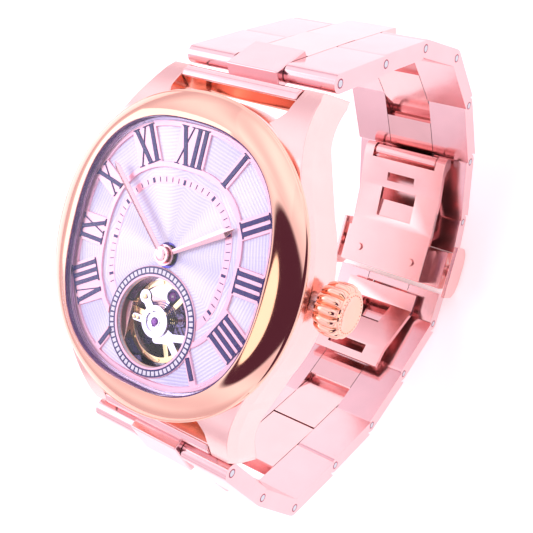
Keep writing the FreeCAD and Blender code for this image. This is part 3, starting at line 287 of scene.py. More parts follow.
@dataclass(frozen=True)
class EngineTurned:
    """Silvered dial with scalloped engine turning over a painted sheen of soft light and dark ray sectors."""

    name: str
    light: Colour = (0.93, 0.92, 0.99)
    dark: Colour = (0.70, 0.67, 0.90)
    pitch: float = 0.46
    scallop: float = 0.30
    lobes: int = 12
    depth: float = 0.02

    def make(self) -> bpy.types.Material:
        """Lines by the sine of 2 pi (r + 2 scallop |sin(lobes angle / 2)|) / pitch, over slow ray sectors of
        painted sheen.
        """
        paint = Paint(bpy.data.materials.new(self.name))
        radius, angle = paint.polar()
        arch = (angle * (self.lobes / 2)).sine().size()
        wave = (arch * self.scallop * 2 + radius) * (2 * math.pi / self.pitch)
        line = wave.sine() * 0.5 + 0.5
        # painted sheen: light and dark sectors by angle in the base colour stand in for the reflection of the
        # sunray finish; the hair and the lines are its grain and its turned pattern
        painted_ray_sheen = (angle * 5.0 + 0.9).sine() * 0.28 + (angle * 11.0 + 2.0).sine() * 0.16 + 0.42
        hair = paint.noise_along(angle, 60.0)
        tone = painted_ray_sheen + (hair - 0.5) * 0.30 + (line - 0.5) * 0.55
        colour = paint.mix(tone.clamped(), self.light, self.dark)
        height = line * 0.8 + hair * 0.2
        inputs = {"Base Color": colour, "Metallic": 0.35, "Roughness": (hair - 0.5) * 0.1 + 0.36}
        inputs["Normal"] = paint.bump(height, self.depth)
        return paint.surface(inputs)


@dataclass(frozen=True)
class Lacquer:
    """Non-metal coat: printed ink, enamel, rubber or a moulded part."""

    name: str
    colour: Colour
    roughness: float = 0.3
    coat: float = 0.0
    tone: float = 0.08
    depth: float = 0.002
    glow: float = 0.0

    def make(self) -> bpy.types.Material:
        """Build the material with a slight mottling and a fine orange-peel relief."""
        paint = Paint(bpy.data.materials.new(self.name))
        cloud = paint.noise((0.8, 0.8, 0.8))
        peel = paint.noise((5.0, 5.0, 5.0))
        colour = paint.mix(cloud, shaded(self.colour, 1 - self.tone), shaded(self.colour, 1 + self.tone))
        inputs = {"Base Color": colour, "Metallic": 0.0, "Roughness": (peel - 0.5) * 0.08 + self.roughness}
        inputs.update({"Coat Weight": self.coat, "Normal": paint.bump(peel, self.depth)})
        if self.glow:
            inputs.update({"Emission Color": (*self.colour, 1.0), "Emission Strength": self.glow})
        return paint.surface(inputs)


@dataclass(frozen=True)
class ClearGlass:
    """Thin clear glass: see-through face on, with a gloss that grows towards its edges."""

    name: str
    tint: Colour = (0.985, 0.975, 1.0)
    face_on: float = 0.015
    edge_on: float = 0.8

    def make(self) -> bpy.types.Material:
        """Mix a see-through shader and a gloss, whose share grows with the fifth power towards the edge."""
        paint = Paint(bpy.data.materials.new(self.name))
        clear = paint.node("BsdfTransparent", {"Color": (*self.tint, 1.0)})
        smear = paint.noise((0.6, 0.6, 0.6))
        gloss = paint.node("BsdfPrincipled", {
            "Base Color": (1.0, 1.0, 1.0, 1.0), "Metallic": 1.0, "Roughness": smear * 0.03 + 0.01,
        })
        facing = paint.wire(paint.node("LayerWeight", {"Blend": 0.5}), "Facing")
        edge = facing ** 5.0 * self.edge_on + self.face_on
        mixed = paint.node("MixShader", {0: edge, 1: paint.wire(clear), 2: paint.wire(gloss)})
        paint.node("OutputMaterial", {"Surface": paint.wire(mixed)})
        return paint.owner


BALANCE_MIDDLE = (0.0, -9.36)
ROSE = (0.97, 0.56, 0.43)
PALE_ROSE = (1.0, 0.58, 0.66)


class Finishes:
    """All materials of the watch, made once and taken by name."""

    def __init__(self) -> None:
        """Build every finish."""
        finishes = [
            Metal("polished_rose_gold", ROSE, 0.07),
            Metal("satin_rose_gold", (1.0, 0.63, 0.59), 0.20, Grain.ALONG_Y, 0.003),
            Metal("bracelet_satin", (0.90, 0.57, 0.58), 0.18, Grain.ALONG_Y, 0.002),
            Metal("bracelet_polished", (0.92, 0.58, 0.57), 0.12),
            Metal("clasp_brushed", (0.95, 0.55, 0.53), 0.22, Grain.ALONG_Y, 0.003),
            Metal("hand_rose_gold", (1.0, 0.62, 0.62), 0.16),
            Metal("frame_rose", PALE_ROSE, 0.34, Grain.SUNRAY, 0.001),
            Metal("flange_silver", (0.80, 0.74, 0.90), 0.16, Grain.CIRCULAR, 0.0015),
            Metal("steel", (0.62, 0.62, 0.66), 0.18),
            Metal("brass", (0.95, 0.72, 0.30), 0.16),
            Metal("balance_gold", (1.0, 0.80, 0.42), 0.10),
            Metal("plate_dark", (0.13, 0.10, 0.24), 0.22, Grain.SPOTS, 0.004),
            Metal("bridge_silver", (0.86, 0.83, 0.94), 0.16, Grain.CIRCULAR, 0.002, BALANCE_MIDDLE),
            Metal("bridge_striped", (0.24, 0.20, 0.38), 0.20, Grain.STRIPES, 0.02),
            Metal("blued_steel", (0.10, 0.08, 0.40), 0.12),
            # painted shade: a dark red metal that stands for the dark reflection on the sides of the hub
            # stack and the shade in the ring round each bracelet pin
            Metal("hub_red", (0.34, 0.05, 0.10), 0.12),
            EngineTurned("dial_turned"),
            Lacquer("numeral_ink", (0.028, 0.014, 0.16), 0.26, 0.3),
            Lacquer("track_white", (0.97, 0.95, 1.0), 0.30, 0.3, 0.02),
            Lacquer("seal_rubber", (0.12, 0.06, 0.20), 0.45),
            Lacquer("ruby", (0.36, 0.05, 0.55), 0.06, 1.0, 0.2, 0.0005),
            Lacquer("studio_floor", (0.98, 0.975, 0.98), 0.6, 0.0, 0.0, 0.0005, 0.35),
            ClearGlass("sapphire"),
        ]
        self.made = {finish.name: finish.make() for finish in finishes}

    def take(self, *names: str) -> list[bpy.types.Material]:
        """The materials of those names, in order."""
        return [self.made[name] for name in names]

    def __getitem__(self, name: str) -> bpy.types.Material:
        """The material of that name."""
        return self.made[name]


# ---- surfaces and pieces


@dataclass
class Surface:
    """Points in millimetres and faces as arrays of point numbers, one array for each face size."""

    points: np.ndarray
    faces: list[np.ndarray]
    finish: np.ndarray | None = None

    def turned(self, matrix: np.ndarray, shift: Triple = (0, 0, 0)) -> "Surface":
        """The surface after a 3 by 3 turn and a shift."""
        return Surface(self.points @ np.asarray(matrix).T + np.asarray(shift), self.faces, self.finish)

    def volume(self) -> float:
        """Signed volume: a sixth of the sum of corner triple products over fans of every face."""
        total = 0.0
        for group in self.faces:
            base = self.points[group[:, 0]]
            for k in range(1, group.shape[1] - 1):
                cross = np.cross(self.points[group[:, k]], self.points[group[:, k + 1]])
                total += float((base * cross).sum())
        return total / 6


def grid(points: np.ndarray, close_u: bool = False, close_v: bool = False, caps: bool = False) -> Surface:
    """Quads over an array of points.

    Args:
        points: array (u, v, 3).
        close_u: join the last row to the first.
        close_v: join the last column to the first.
        caps: close the first and last rows with a flat face each.

    Returns:
        The surface.
    """
    rows, columns = points.shape[:2]
    number = np.arange(rows * columns).reshape(rows, columns)
    wide = np.vstack([number, number[:1]]) if close_u else number
    wide = np.hstack([wide, wide[:, :1]]) if close_v else wide
    quads = np.stack([wide[:-1, :-1], wide[1:, :-1], wide[1:, 1:], wide[:-1, 1:]], -1).reshape(-1, 4)
    faces = [quads]
    if caps:
        faces += [number[:1], number[-1:, ::-1]]
    return Surface(points.reshape(-1, 3), faces)


def turn_z(degrees: float) -> np.ndarray:
    """Turn about Z, counter-clockwise seen from the front."""
    c, s = math.cos(math.radians(degrees)), math.sin(math.radians(degrees))
    return np.array([[c, -s, 0], [s, c, 0], [0, 0, 1]])


def turn_x(degrees: float) -> np.ndarray:
    """Turn about X."""
    c, s = math.cos(math.radians(degrees)), math.sin(math.radians(degrees))
    return np.array([[1, 0, 0], [0, c, -s], [0, s, c]])


FACING_X = np.array([[0, 0, 1], [1, 0, 0], [0, 1, 0]])   # carries the front axis to +X


def oval_radius(a: float, b: float, n: float, angle: np.ndarray) -> np.ndarray:
    """Distance to the curve |x/a|^n + |y/b|^n = 1 in a direction."""
    return (np.abs(np.cos(angle) / a) ** n + np.abs(np.sin(angle) / b) ** n) ** (-1 / n)


def oval_ring(sizes: np.ndarray, count: int) -> Surface:
    """Closed ring whose section is a list of ovals.

    Args:
        sizes: array (k, 4) of half-width, half-height, exponent and z of each oval.
        count: points round each oval.

    Returns:
        The surface r(angle) of each oval at its height, joined in a closed loop.
    """
    angle = np.linspace(0, 2 * np.pi, count, endpoint=False)[:, None]
    a, b, n, z = (sizes[None, :, k] for k in range(4))
    r = oval_radius(a, b, n, angle)
    points = np.stack([r * np.cos(angle), r * np.sin(angle), np.broadcast_to(z, r.shape)], -1)
    return grid(points, True, True)


def oval_band(oval: Triple, section: list[Pair], count: int) -> Surface:
    """Closed ring whose section is a list of (distance outside the oval, z)."""
    a, b, n = oval
    return oval_ring(np.array([(a + d, b + d, n, z) for d, z in section]), count)


def revolved(profile: list[Pair], count: int, middle: Pair = (0.0, 0.0), loop: bool = True) -> Surface:
    """Profile of (radius, z) carried round an axis along Z; a loop is closed onto itself."""
    angle = np.linspace(0, 2 * np.pi, count, endpoint=False)[:, None]
    r, z = np.array(profile).T[:, None, :]
    x, y = middle[0] + r * np.cos(angle), middle[1] + r * np.sin(angle)
    return grid(np.stack([x, y, np.broadcast_to(z, x.shape)], -1), True, loop)


def tube_ring(outer: float, inner: float, low: float, high: float, count: int = 96,
              middle: Pair = (0, 0)) -> Surface:
    """Flat ring with a square section."""
    return revolved([(inner, low), (outer, low), (outer, high), (inner, high)], count, middle)


def disc(radius: float, low: float, high: float, count: int = 48, middle: Pair = (0, 0),
         dome: float = 0.0) -> Surface:
    """Round plate; a dome raises its middle by a quarter-circle law."""
    steps = np.linspace(1, 0, 7)[1:]
    top = [(radius * s, high + dome * math.sqrt(1 - s * s)) for s in steps]
    return revolved([(0.0, low), (radius, low), (radius, high)] + top, count, middle, False)


def prism(profile: np.ndarray, low: float, high: float, axis: str = "z") -> Surface:
    """Closed flat outline carried along an axis.

    Args:
        profile: array (k, 2): (x, y) for axis z, (y, z) for axis x.
        low: start along the axis.
        high: end along the axis.
        axis: "x" or "z".

    Returns:
        The closed surface with flat ends.
    """
    profile = np.asarray(profile, float)
    levels = []
    for place in (low, high):
        along = np.full((len(profile), 1), float(place))
        levels.append(np.hstack([profile, along]) if axis == "z" else np.hstack([along, profile]))
    return grid(np.stack(levels), close_v=True, caps=True)


def arc(centre: Pair, radius: float, start: float, end: float, count: int) -> np.ndarray:
    """Points of a circular arc, angles in degrees."""
    angle = np.radians(np.linspace(start, end, count))
    return np.stack([centre[0] + radius * np.cos(angle), centre[1] + radius * np.sin(angle)], -1)


def dotted(points: np.ndarray, radius: float, axis: np.ndarray, count: int = 10) -> list[Surface]:
    """Small half-balls that stand on the given points, their tops along the axis matrix's third column."""
    rise = np.linspace(0, np.pi / 2, 4)
    profile = [(0.0, -0.05)] + [(radius * math.cos(t), radius * math.sin(t)) for t in rise]
    ball = revolved(profile, count, (0, 0), False)
    return [ball.turned(axis, tuple(p)) for p in points]


def rectangle(half_x: float, half_y: float) -> np.ndarray:
    """Outline of a rectangle about its middle."""
    return np.array([(-half_x, -half_y), (half_x, -half_y), (half_x, half_y), (-half_x, half_y)])


def swept(section: list[tuple[np.ndarray, np.ndarray | float]], along: np.ndarray) -> np.ndarray:
    """Points of a section carried along Y; each corner's x and z are given at every place."""
    return np.stack([np.stack([x, along, z + 0 * along], -1) for x, z in section], 1)


def linked(name: str, data: bpy.types.ID) -> bpy.types.Object:
    """A new object of the scene."""
    thing = bpy.data.objects.new(name, data)
    bpy.context.scene.collection.objects.link(thing)
    return thing


def weld(mesh: bpy.types.Mesh, reach: float, flat: float = 0.0) -> None:
    """Join points within a reach in metres, and faces that meet at less than so many degrees."""
    shape = bmesh.new()
    shape.from_mesh(mesh)
    bmesh.ops.remove_doubles(shape, verts=shape.verts, dist=reach)
    if flat:
        limit = math.radians(flat)
        bmesh.ops.dissolve_limit(shape, angle_limit=limit, verts=shape.verts, edges=shape.edges)
    shape.to_mesh(mesh)
    shape.free()


class Piece:
    """One named object made of closed surfaces, each with a finish."""

    def __init__(self, name: str, body: str, finishes: list[bpy.types.Material]) -> None:
        """Start an empty piece that rides on a body."""
        self.name = name
        self.body = body
        self.finishes = finishes
        self.points: list[np.ndarray] = []
        self.faces: list[list[int]] = []
        self.slots: list[int] = []
        self.count = 0

    def add(self, surface: Surface, finish: int = 0) -> "Piece":
        """Add a closed surface, its faces turned outwards."""
        flip = surface.volume() < 0
        for group in surface.faces:
            ordered = group[:, ::-1] if flip else group
            self.faces += (ordered + self.count).tolist()
            marked = surface.finish is not None and len(surface.finish) == len(group)
            self.slots += surface.finish.tolist() if marked else [finish] * len(group)
        self.points.append(surface.points)
        self.count += len(surface.points)
        return self

    def mesh(self) -> bpy.types.Mesh:
        """Its points and faces as a mesh in metres."""
        mesh = bpy.data.meshes.new(self.name)
        mesh.from_pydata((np.vstack(self.points) * MM).tolist(), [], self.faces)
        return mesh

    def build(self, replaces: tuple[str, ...] = (), slot: str = "", bevel: float = 0.0,
              steps: int = 2, crease: float = 32.0, cutter: Surface | None = None) -> None:
        """Make the object.

        Args:
            replaces: nodes of the frame that this piece stands for.
            slot: not used.
            bevel: width of the rounded edges in millimetres, or nought.
            steps: faces across each rounded edge.
            crease: edges sharper than this many degrees stay crisp.
            cutter: a closed surface that is taken away from the piece.
        """
        mesh = self.mesh()
        for finish in self.finishes:
            mesh.materials.append(finish)
        mesh.polygons.foreach_set("material_index", self.slots)
        weld(mesh, 1e-7)
        thing = linked(self.name, mesh)
        if cutter is not None:
            cut_away(thing, cutter)
        finish_piece(thing, bevel, steps, crease)
        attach(thing, self.body)
        if replaces:
            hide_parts(*replaces)
        LOG.info("%s: %d points", self.name, len(thing.data.vertices))


def cut_away(thing: bpy.types.Object, cutter: Surface) -> None:
    """Take a closed surface away from an object's mesh."""
    knife = linked("cutter", Piece("cutter", "case", []).add(cutter).mesh())
    change = thing.modifiers.new("cut", "BOOLEAN")
    change.operation = "DIFFERENCE"
    change.object = knife
    bpy.context.view_layer.update()
    graph = bpy.context.evaluated_depsgraph_get()
    result = bpy.data.meshes.new_from_object(thing.evaluated_get(graph))
    thing.modifiers.clear()
    thing.data = result
    bpy.data.objects.remove(knife)


def finish_piece(thing: bpy.types.Object, bevel: float, steps: int, crease: float) -> None:
    """Smooth the faces, keep edges over the crease angle crisp, and round them if a width is given."""
    mesh = thing.data
    mesh.shade_smooth()
    mesh.set_sharp_from_angle(angle=math.radians(crease))
    if bevel:
        edge = thing.modifiers.new("edges", "BEVEL")
        edge.width = bevel * MM
        edge.segments = steps
        edge.limit_method = "ANGLE"
        edge.angle_limit = math.radians(crease)
        edge.harden_normals = True


def refined(node: str, name: str, finish: bpy.types.Material, bevel: float) -> None:
    """A copy of a node's mesh with welded points, whole flat faces and rounded edges, standing for the node.

    Args:
        node: the node's name.
        name: the new piece's name.
        finish: its material.
        bevel: width of the rounded edges in millimetres.
    """
    source = frame["nodes"][node]
    mesh = source.data.copy()
    mesh.name = name
    weld(mesh, 1e-6, 1.0)
    mesh.materials.clear()
    mesh.materials.append(finish)
    thing = linked(name, mesh)
    finish_piece(thing, bevel, 2, 35.0)
    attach(thing, source["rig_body"])
    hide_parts(node)
    LOG.info("%s: %d points", name, len(mesh.vertices))


# ---- case


@dataclass
class Case:
    """Bezel, crystal, flange, mid-case with lugs, back and crown."""

    finishes: Finishes
    base: float = 9.3
    crest: float = 12.05
    mouth: Triple = (16.9, 18.2, 2.53)
    edge: Triple = (21.6, 22.3, 2.05)
    body: Triple = (21.3, 22.0, 2.05)
    slope: Pair = (8.0, 38.0)     # degrees the bezel's face falls at the mouth and at the rim
    bore: float = 0.19            # share of the bezel's width that the bore takes
    dial_z: float = 10.5
    foot: float = 11.1
    crystal_top: float = 12.95
    shoulder: Pair = (0.025, 0.42)   # share of the width and fall of the crystal's rounded edge
    seal: float = 0.15
    back: float = 2.0
    inner: float = 16.2
    lug_x: Pair = (10.0, 14.0)
    lug_tip: float = 25.7
    lug_root: float = 8.0
    lug_bend: float = 13.5
    lug_end: Pair = (-3.1, 3.2)   # lower and upper height of the tip
    lug_flare: float = -0.12
    root_sink: float = 0.3        # how far a lug starts inside the band
    lug_hollow: float = 22.4
    ridge_drop: float = 1.55
    ridge_inset: float = 0.75
    crown_z: float = 5.24
    crown_x: Pair = (22.35, 26.05)
    lobes: int = 14
    dots: tuple[int, float, float] = (30, 2.46, 0.13)   # number, ring radius and size of the crown's dots

    def oval_at(self, share: np.ndarray) -> np.ndarray:
        """Half-width, half-height and exponent between the mouth (0) and the widest line (1)."""
        share = np.asarray(share, float)[:, None]
        return np.array(self.mouth) + (np.array(self.edge) - np.array(self.mouth)) * share

    def bezel(self) -> None:
        """Domed ring: its slope grows evenly from slope[0] at the mouth to slope[1], over a grooved rim."""
        t = np.linspace(0.93, 0.03, 26)
        low, high = (math.tan(math.radians(angle)) for angle in self.slope)
        fall = low * t + (high - low) * t ** 2 / 2
        height = self.crest - (self.edge[0] - self.mouth[0]) * fall
        low, top = self.base, height[0]
        rim = [(self.bore, low), (0.925, low), (0.925, low + 0.26), (0.985, low + 0.30), (1.0, low + 0.40),
               (1.0, top - 0.32), (0.99, top - 0.14), (0.965, top - 0.03)]
        lip = [(0.012, self.crest - 0.02), (0.0, self.crest - 0.10), (0.0, self.foot + 0.3), (0.0, self.foot),
               (self.bore, self.foot)]
        shares = np.concatenate([[s for s, _ in rim], t, [s for s, _ in lip]])
        heights = np.concatenate([[z for _, z in rim], height, [z for _, z in lip]])
        ring = oval_ring(np.hstack([self.oval_at(shares), heights[:, None]]), 360)
        piece = Piece("polished_bezel", "case", [self.finishes["polished_rose_gold"]])
        piece.add(ring).build(("bezel",), "polished_case", crease=40.0)

    def crystal(self) -> None:
        """Box crystal: flat top with a rounded shoulder, 0.7 thick, on a 0.5 wall."""
        a, b, n = self.mouth
        top, (inset, fall) = self.crystal_top, self.shoulder
        out = [(1.0, self.foot)]
        out += [(1.0 - inset * (1 - math.cos(t)), top - fall * (1 - math.sin(t)))
                for t in np.linspace(0, np.pi / 2, 7)]
        out += [(s, top) for s in (0.9, 0.6, 0.3, 0.0)]
        under = top - 0.7
        wall = 1 - 0.5 / a
        inside = [(0.0, under), (0.4, under), (0.8, under), (wall, under), (wall, self.foot)]
        sizes = [(s * (a - self.seal), s * (b - self.seal), n, z) for s, z in out + inside]
        sizes = [(max(p, 1e-4), max(q, 1e-4), n, z) for p, q, n, z in sizes]
        piece = Piece("domed_crystal", "case", [self.finishes["sapphire"]])
        piece.add(oval_ring(np.array(sizes), 240)).build(("crystal",), "sapphire", crease=50.0)

    def flange(self) -> None:
        """Stepped ring between the crystal's foot and the dial: three small treads."""
        steps = [(0.75, self.dial_z), (0.75, self.foot), (-0.02, self.foot), (-0.08, self.foot - 0.14)]
        steps += [(-0.16, self.foot - 0.16), (-0.20, self.foot - 0.32), (-0.28, self.foot - 0.34)]
        steps += [(-0.32, self.dial_z + 0.10), (-0.38, self.dial_z + 0.08), (-0.38, self.dial_z)]
        piece = Piece("stepped_flange", "case", [self.finishes["flange_silver"]])
        piece.add(oval_band(self.mouth, steps, 300)).build(("rehaut",), "dial_silver", crease=25.0)

    def lug_top(self, y: np.ndarray) -> np.ndarray:
        """Height of a lug's upper line: level under the bezel, then a square law down to the tip."""
        s = np.clip((y - self.lug_bend) / (self.lug_tip - self.lug_bend), 0, 1)
        return self.base - (self.base - self.lug_end[1]) * s ** 2

    def lug_low(self, y: np.ndarray) -> np.ndarray:
        """Height of a lug's lower line: level, then a curve down to the tip."""
        s = np.clip((y - (self.lug_tip - 7)) / 7, 0, 1)
        return self.back - (self.back - self.lug_end[0]) * s ** 1.5

    def lug_side(self, y: np.ndarray) -> np.ndarray:
        """Outer edge of a lug seen from the front: a cubic that leaves the band's oval along its tangent."""
        a, b, n = self.body
        y0, y1 = self.lug_root, self.lug_tip
        x0 = a * (1 - (y0 / b) ** n) ** (1 / n)
        slope0 = -((y0 / b) ** (n - 1) / b) * a / (x0 / a) ** (n - 1)
        span = y1 - y0
        s = (y - y0) / span
        ends = (2 * s ** 3 - 3 * s ** 2 + 1) * x0 + (3 * s ** 2 - 2 * s ** 3) * self.lug_x[1]
        slopes = (s ** 3 - 2 * s ** 2 + s) * slope0 + (s ** 3 - s ** 2) * self.lug_flare
        return ends + slopes * span - self.root_sink * (1 - s) ** 4

    def lug_inside(self, y: np.ndarray) -> np.ndarray:
        """Inner edge of a lug: straight beside the end link, then hollowed towards the middle of the case."""
        s = np.clip((self.lug_hollow - y) / 4.6, 0, 1)
        return self.lug_x[0] - 5.0 * s ** 1.6

    def lug(self, right: int, up: int) -> Surface:
        """One lug: a six-cornered section carried along Y, with its ridge and its hollowed inner face."""
        y = np.linspace(self.lug_root, self.lug_tip, 60)
        top, low, side, inside = self.lug_top(y), self.lug_low(y), self.lug_side(y), self.lug_inside(y)
        fade = np.clip((self.lug_tip - y) / 1.2, 0.25, 1)
        side = side - 0.6 * (1 - np.sqrt(np.clip(fade, 0, 1)))
        drop = np.minimum(self.ridge_drop, (top - low) * 0.35)
        section = [(inside, low), (inside, top), (side - self.ridge_inset, top), (side, top - drop),
                   (side, low + 0.4), (side - 0.5, low)]
        return grid(swept(section, y) * np.array([right, up, 1.0]), close_v=True, caps=True)

    def mid_case(self) -> None:
        """Oval band with a chamfer, a ridge and an upright side, plus four lugs that grow out of it."""
        a, b, n = self.body
        side = [(0.0, self.back + 0.4), (0.0, self.base - self.ridge_drop), (-self.ridge_inset, self.base)]
        outer = [(a + d, b + d, n, z) for d, z in side]
        inner = [(self.inner, self.inner, 2.0, self.base), (self.inner, self.inner, 2.0, self.back)]
        foot = [(a - 0.5, b - 0.5, n, self.back)]
        piece = Piece("case_band", "case", [self.finishes["satin_rose_gold"]])
        band = oval_ring(np.array(outer + inner + foot), 360)
        piece.add(band)
        for right in (1, -1):
            for up in (1, -1):
                piece.add(self.lug(right, up))
        piece.build(("mid_case",), "satin_case", 0.14, 3, 24.0)

    def crown(self) -> None:
        """Knob along X, dented by depth (1 - |sin(k angle)|)^1.4, with a dished end and a ring of dots."""
        x0, x1 = self.crown_x
        angle = np.linspace(0, 2 * np.pi, self.lobes * 16, endpoint=False)[:, None]
        profile = np.array([
            (x0, 1.4, 0.0), (x0, 2.9, 0.0), (x0 + 0.12, 3.25, 0.5), (x0 + 0.55, 3.5, 1.0),
            (x0 + 1.3, 3.6, 1.0), (x1 - 1.1, 3.6, 1.0), (x1 - 0.6, 3.46, 1.0), (x1 - 0.3, 3.18, 0.7),
            (x1 - 0.2, 2.98, 0.2), (x1 - 0.2, 2.86, 0.0), (x1 - 0.02, 2.80, 0.0), (x1, 2.72, 0.0),
            (x1, 2.2, 0.0), (x1 - 0.06, 2.12, 0.0), (x1 - 0.08, 1.0, 0.0), (x1 - 0.08, 0.0, 0.0),
        ])
        x, radius, cut = profile.T[:, None, :]
        dent = 0.62 * (1 - np.abs(np.sin(angle * self.lobes / 2))) ** 1.4
        r = radius - cut * dent
        y, z = r * np.cos(angle), self.crown_z + r * np.sin(angle)
        knob = grid(np.stack([np.broadcast_to(x, r.shape), y, z], -1), True)
        piece = Piece("lobed_crown", "crown", [self.finishes["polished_rose_gold"]])
        piece.add(knob)
        count, radius, size = self.dots
        turn = np.linspace(0, 2 * np.pi, count, endpoint=False)
        y, z = radius * np.cos(turn), self.crown_z + radius * np.sin(turn)
        for ball in dotted(np.stack([np.full(count, x1), y, z], -1), size, FACING_X):
            piece.add(ball)
        piece.build(("crown",), "polished_case", crease=38.0)

    def build(self) -> None:
        """Build and dress every piece of the case."""
        self.bezel()
        self.crystal()
        self.flange()
        self.mid_case()
        self.crown()
        refined("case_back", "screwed_back", self.finishes["satin_rose_gold"], 0.15)
        refined("back_screws", "back_screw_set", self.finishes["steel"], 0.06)


# ---- dial


@dataclass
class Dial:
    """Chapter frame, minute track, numerals and window ring on the turned dial."""

    finishes: Finishes
    level: float = 10.5
    rise: float = 0.3
    mouth: Triple = (16.9, 18.2, 2.53)
    track: Triple = (10.1, 10.35, 2.53)
    frame_in: float = 1.15
    bar: float = 0.7
    window: Pair = BALANCE_MIDDLE
    window_r: float = 6.1
    ring_r: float = 7.6
    margin: float = 0.22
    stem: float = 0.62
    hairline: float = 0.14
    ink: float = 0.12
    widths: dict = field(default_factory=lambda: {"I": 1.12, "V": 2.35, "X": 2.6})
    words: dict = field(default_factory=lambda: {
        1: "I", 2: "II", 3: "III", 4: "IIII", 8: "VIII", 9: "IX", 10: "X", 11: "XI", 12: "XII",
    })
    stem_turns: dict = field(default_factory=lambda: {5: 148.0, 7: 207.6})
    stem_ends: Pair = (14.0, 17.1)
    stem_pad: float = 0.6

    def half_width(self, hour: int) -> float:
        """Half the width of an hour's pad."""
        if hour not in self.words:
            return self.stem_pad
        return sum(self.widths[c] for c in self.words[hour]) / 2 + self.margin

    def turn(self, hour: int) -> float:
        """Degrees clockwise of 12; the two stems beside the window stand nearer to it."""
        return self.stem_turns.get(hour, 30.0 * hour)

    def frame_oval(self, share: np.ndarray, angle: np.ndarray) -> np.ndarray:
        """Radius between the frame's inner edge (0) and its outer edge (1) in a direction."""
        low = oval_radius(self.track[0] + self.frame_in, self.track[1] + self.frame_in, self.track[2], angle)
        high = oval_radius(self.mouth[0] - 0.42, self.mouth[1] - 0.42, self.mouth[2], angle)
        return low + (high - low) * share

    def opening(self) -> Surface:
        """What the window ring takes away from the frame and the track."""
        low, high = self.level - 2, self.level + 3
        return tube_ring(self.ring_r + 0.1, 0.001, low, high, 96, self.window)

    def chapter_frame(self) -> None:
        """Raised frame with sunk panels between the hours.

        The pads have parallel sides, each asin(half-width / radius) from the hour's angle.
        """
        span, bank = 5.3, 0.07    # width of the frame and of the slope round each panel
        slope = bank / span
        inner_bar, outer_bar = self.bar / span, 1 - self.bar / span
        shares = [0.0, slope, inner_bar - slope, inner_bar] + list(np.linspace(inner_bar, outer_bar, 6)[1:-1])
        shares += [outer_bar, outer_bar + slope, 1 - slope, 1.0]
        share = np.array(shares)
        inside = (share >= inner_bar - 1e-9) & (share <= outer_bar + 1e-9)
        lines, sunk = [], []
        for hour in range(12, 0, -1):
            following = hour - 1 or 12
            middle = math.radians(90 - self.turn(hour))
            after = math.radians(90 - self.turn(following) + (360 if hour == 1 else 0))
            width, next_width = self.half_width(hour), self.half_width(following)
            sides = []
            for centre, offset in ((middle, width - bank), (middle, width), (after, -next_width),
                                   (after, bank - next_width)):
                angle = np.full(len(share), centre)
                for _ in range(3):
                    angle = centre + np.arcsin(offset / self.frame_oval(share, angle))
                sides.append(angle)
            panel = [sides[1] + (sides[2] - sides[1]) * k for k in np.linspace(0, 1, 7)]
            pad = [sides[3] + (after - sides[3]) * k for k in (0.0, 0.5, 1.0)]
            lines += [sides[0]] + panel + pad
            sunk += [False] + [True] * len(panel) + [False] * len(pad)
        angle = np.array(lines)
        low_mask = np.array(sunk)[:, None] & inside[None, :]
        r = self.frame_oval(share[None, :], angle)
        z = np.where(low_mask, self.level + 0.03, self.level + self.rise)
        z[:, [0, -1]] = self.level
        top = np.stack([r * np.cos(angle), r * np.sin(angle), z], -1)
        surface = grid(top, True, True)
        corner = np.vstack([low_mask, low_mask[:1]])
        corner = np.hstack([corner, corner[:, :1]])
        flat = corner[:-1, :-1] & corner[1:, :-1] & corner[1:, 1:] & corner[:-1, 1:]
        surface.finish = flat.reshape(-1).astype(int)
        piece = Piece("hour_pads", "case", self.finishes.take("frame_rose", "dial_turned"))
        piece.add(surface).build(("chapter_frame",), "dial_rose", crease=20.0, cutter=self.opening())

    def minute_track(self) -> None:
        """Thin band with sixty bars; the fifth ones are broader, and the window takes those below."""
        a, b, n = self.track
        low, high = self.level - 0.01, self.level + 0.05
        section = [(-0.9, low), (0.12, low), (0.12, high), (-0.9, high)]
        band = Piece("minute_band", "case", [self.finishes["frame_rose"]])
        band.add(oval_band(self.track, section, 240)).build(slot="dial_rose", cutter=self.opening())
        bars = Piece("minute_bars", "case", [self.finishes["numeral_ink"]])
        for minute in range(60):
            angle = math.radians(90 - 6 * minute)
            middle = float(oval_radius(a - 0.4, b - 0.4, n, np.array(angle)))
            x, y = middle * math.cos(angle), middle * math.sin(angle)
            if math.hypot(x - self.window[0], y - self.window[1]) < self.ring_r + 0.7:
                continue
            outline = rectangle(0.19, 0.36) if minute % 5 == 0 else rectangle(0.055, 0.34)
            bars.add(prism(outline, high - 0.02, high + 0.04).turned(turn_z(-6 * minute), (x, y, 0)))
        bars.build(slot="numeral_ink")

    def letter(self, kind: str, height: float) -> list[np.ndarray]:
        """Outlines of one roman letter: straight stems that flare into hairline serifs.

        Args:
            kind: "I", "V" or "X".
            height: full height of the letter.

        Returns:
            Closed outlines in the letter's own frame, feet towards -Y.
        """
        h = height / 2

        def stem(x0: float, x1: float, width: float) -> np.ndarray:
            """Slanted bar from the foot at x0 to the head at x1."""
            w = width / 2
            return np.array([(x0 - w, -h), (x0 + w, -h), (x1 + w, h), (x1 - w, h)])

        def serif(x: float, level: float, half: float) -> np.ndarray:
            """Hairline with a curved bracket towards the stem."""
            s = math.copysign(1, level)
            thin, tall = self.hairline, 0.3
            side = [(half, 0), (half, thin), (half * 0.62, thin + 0.05), (self.stem / 2, tall)]
            points = side + [(-p, q) for p, q in side[::-1]]
            return np.array([(x + p, level - s * q) for p, q in points])

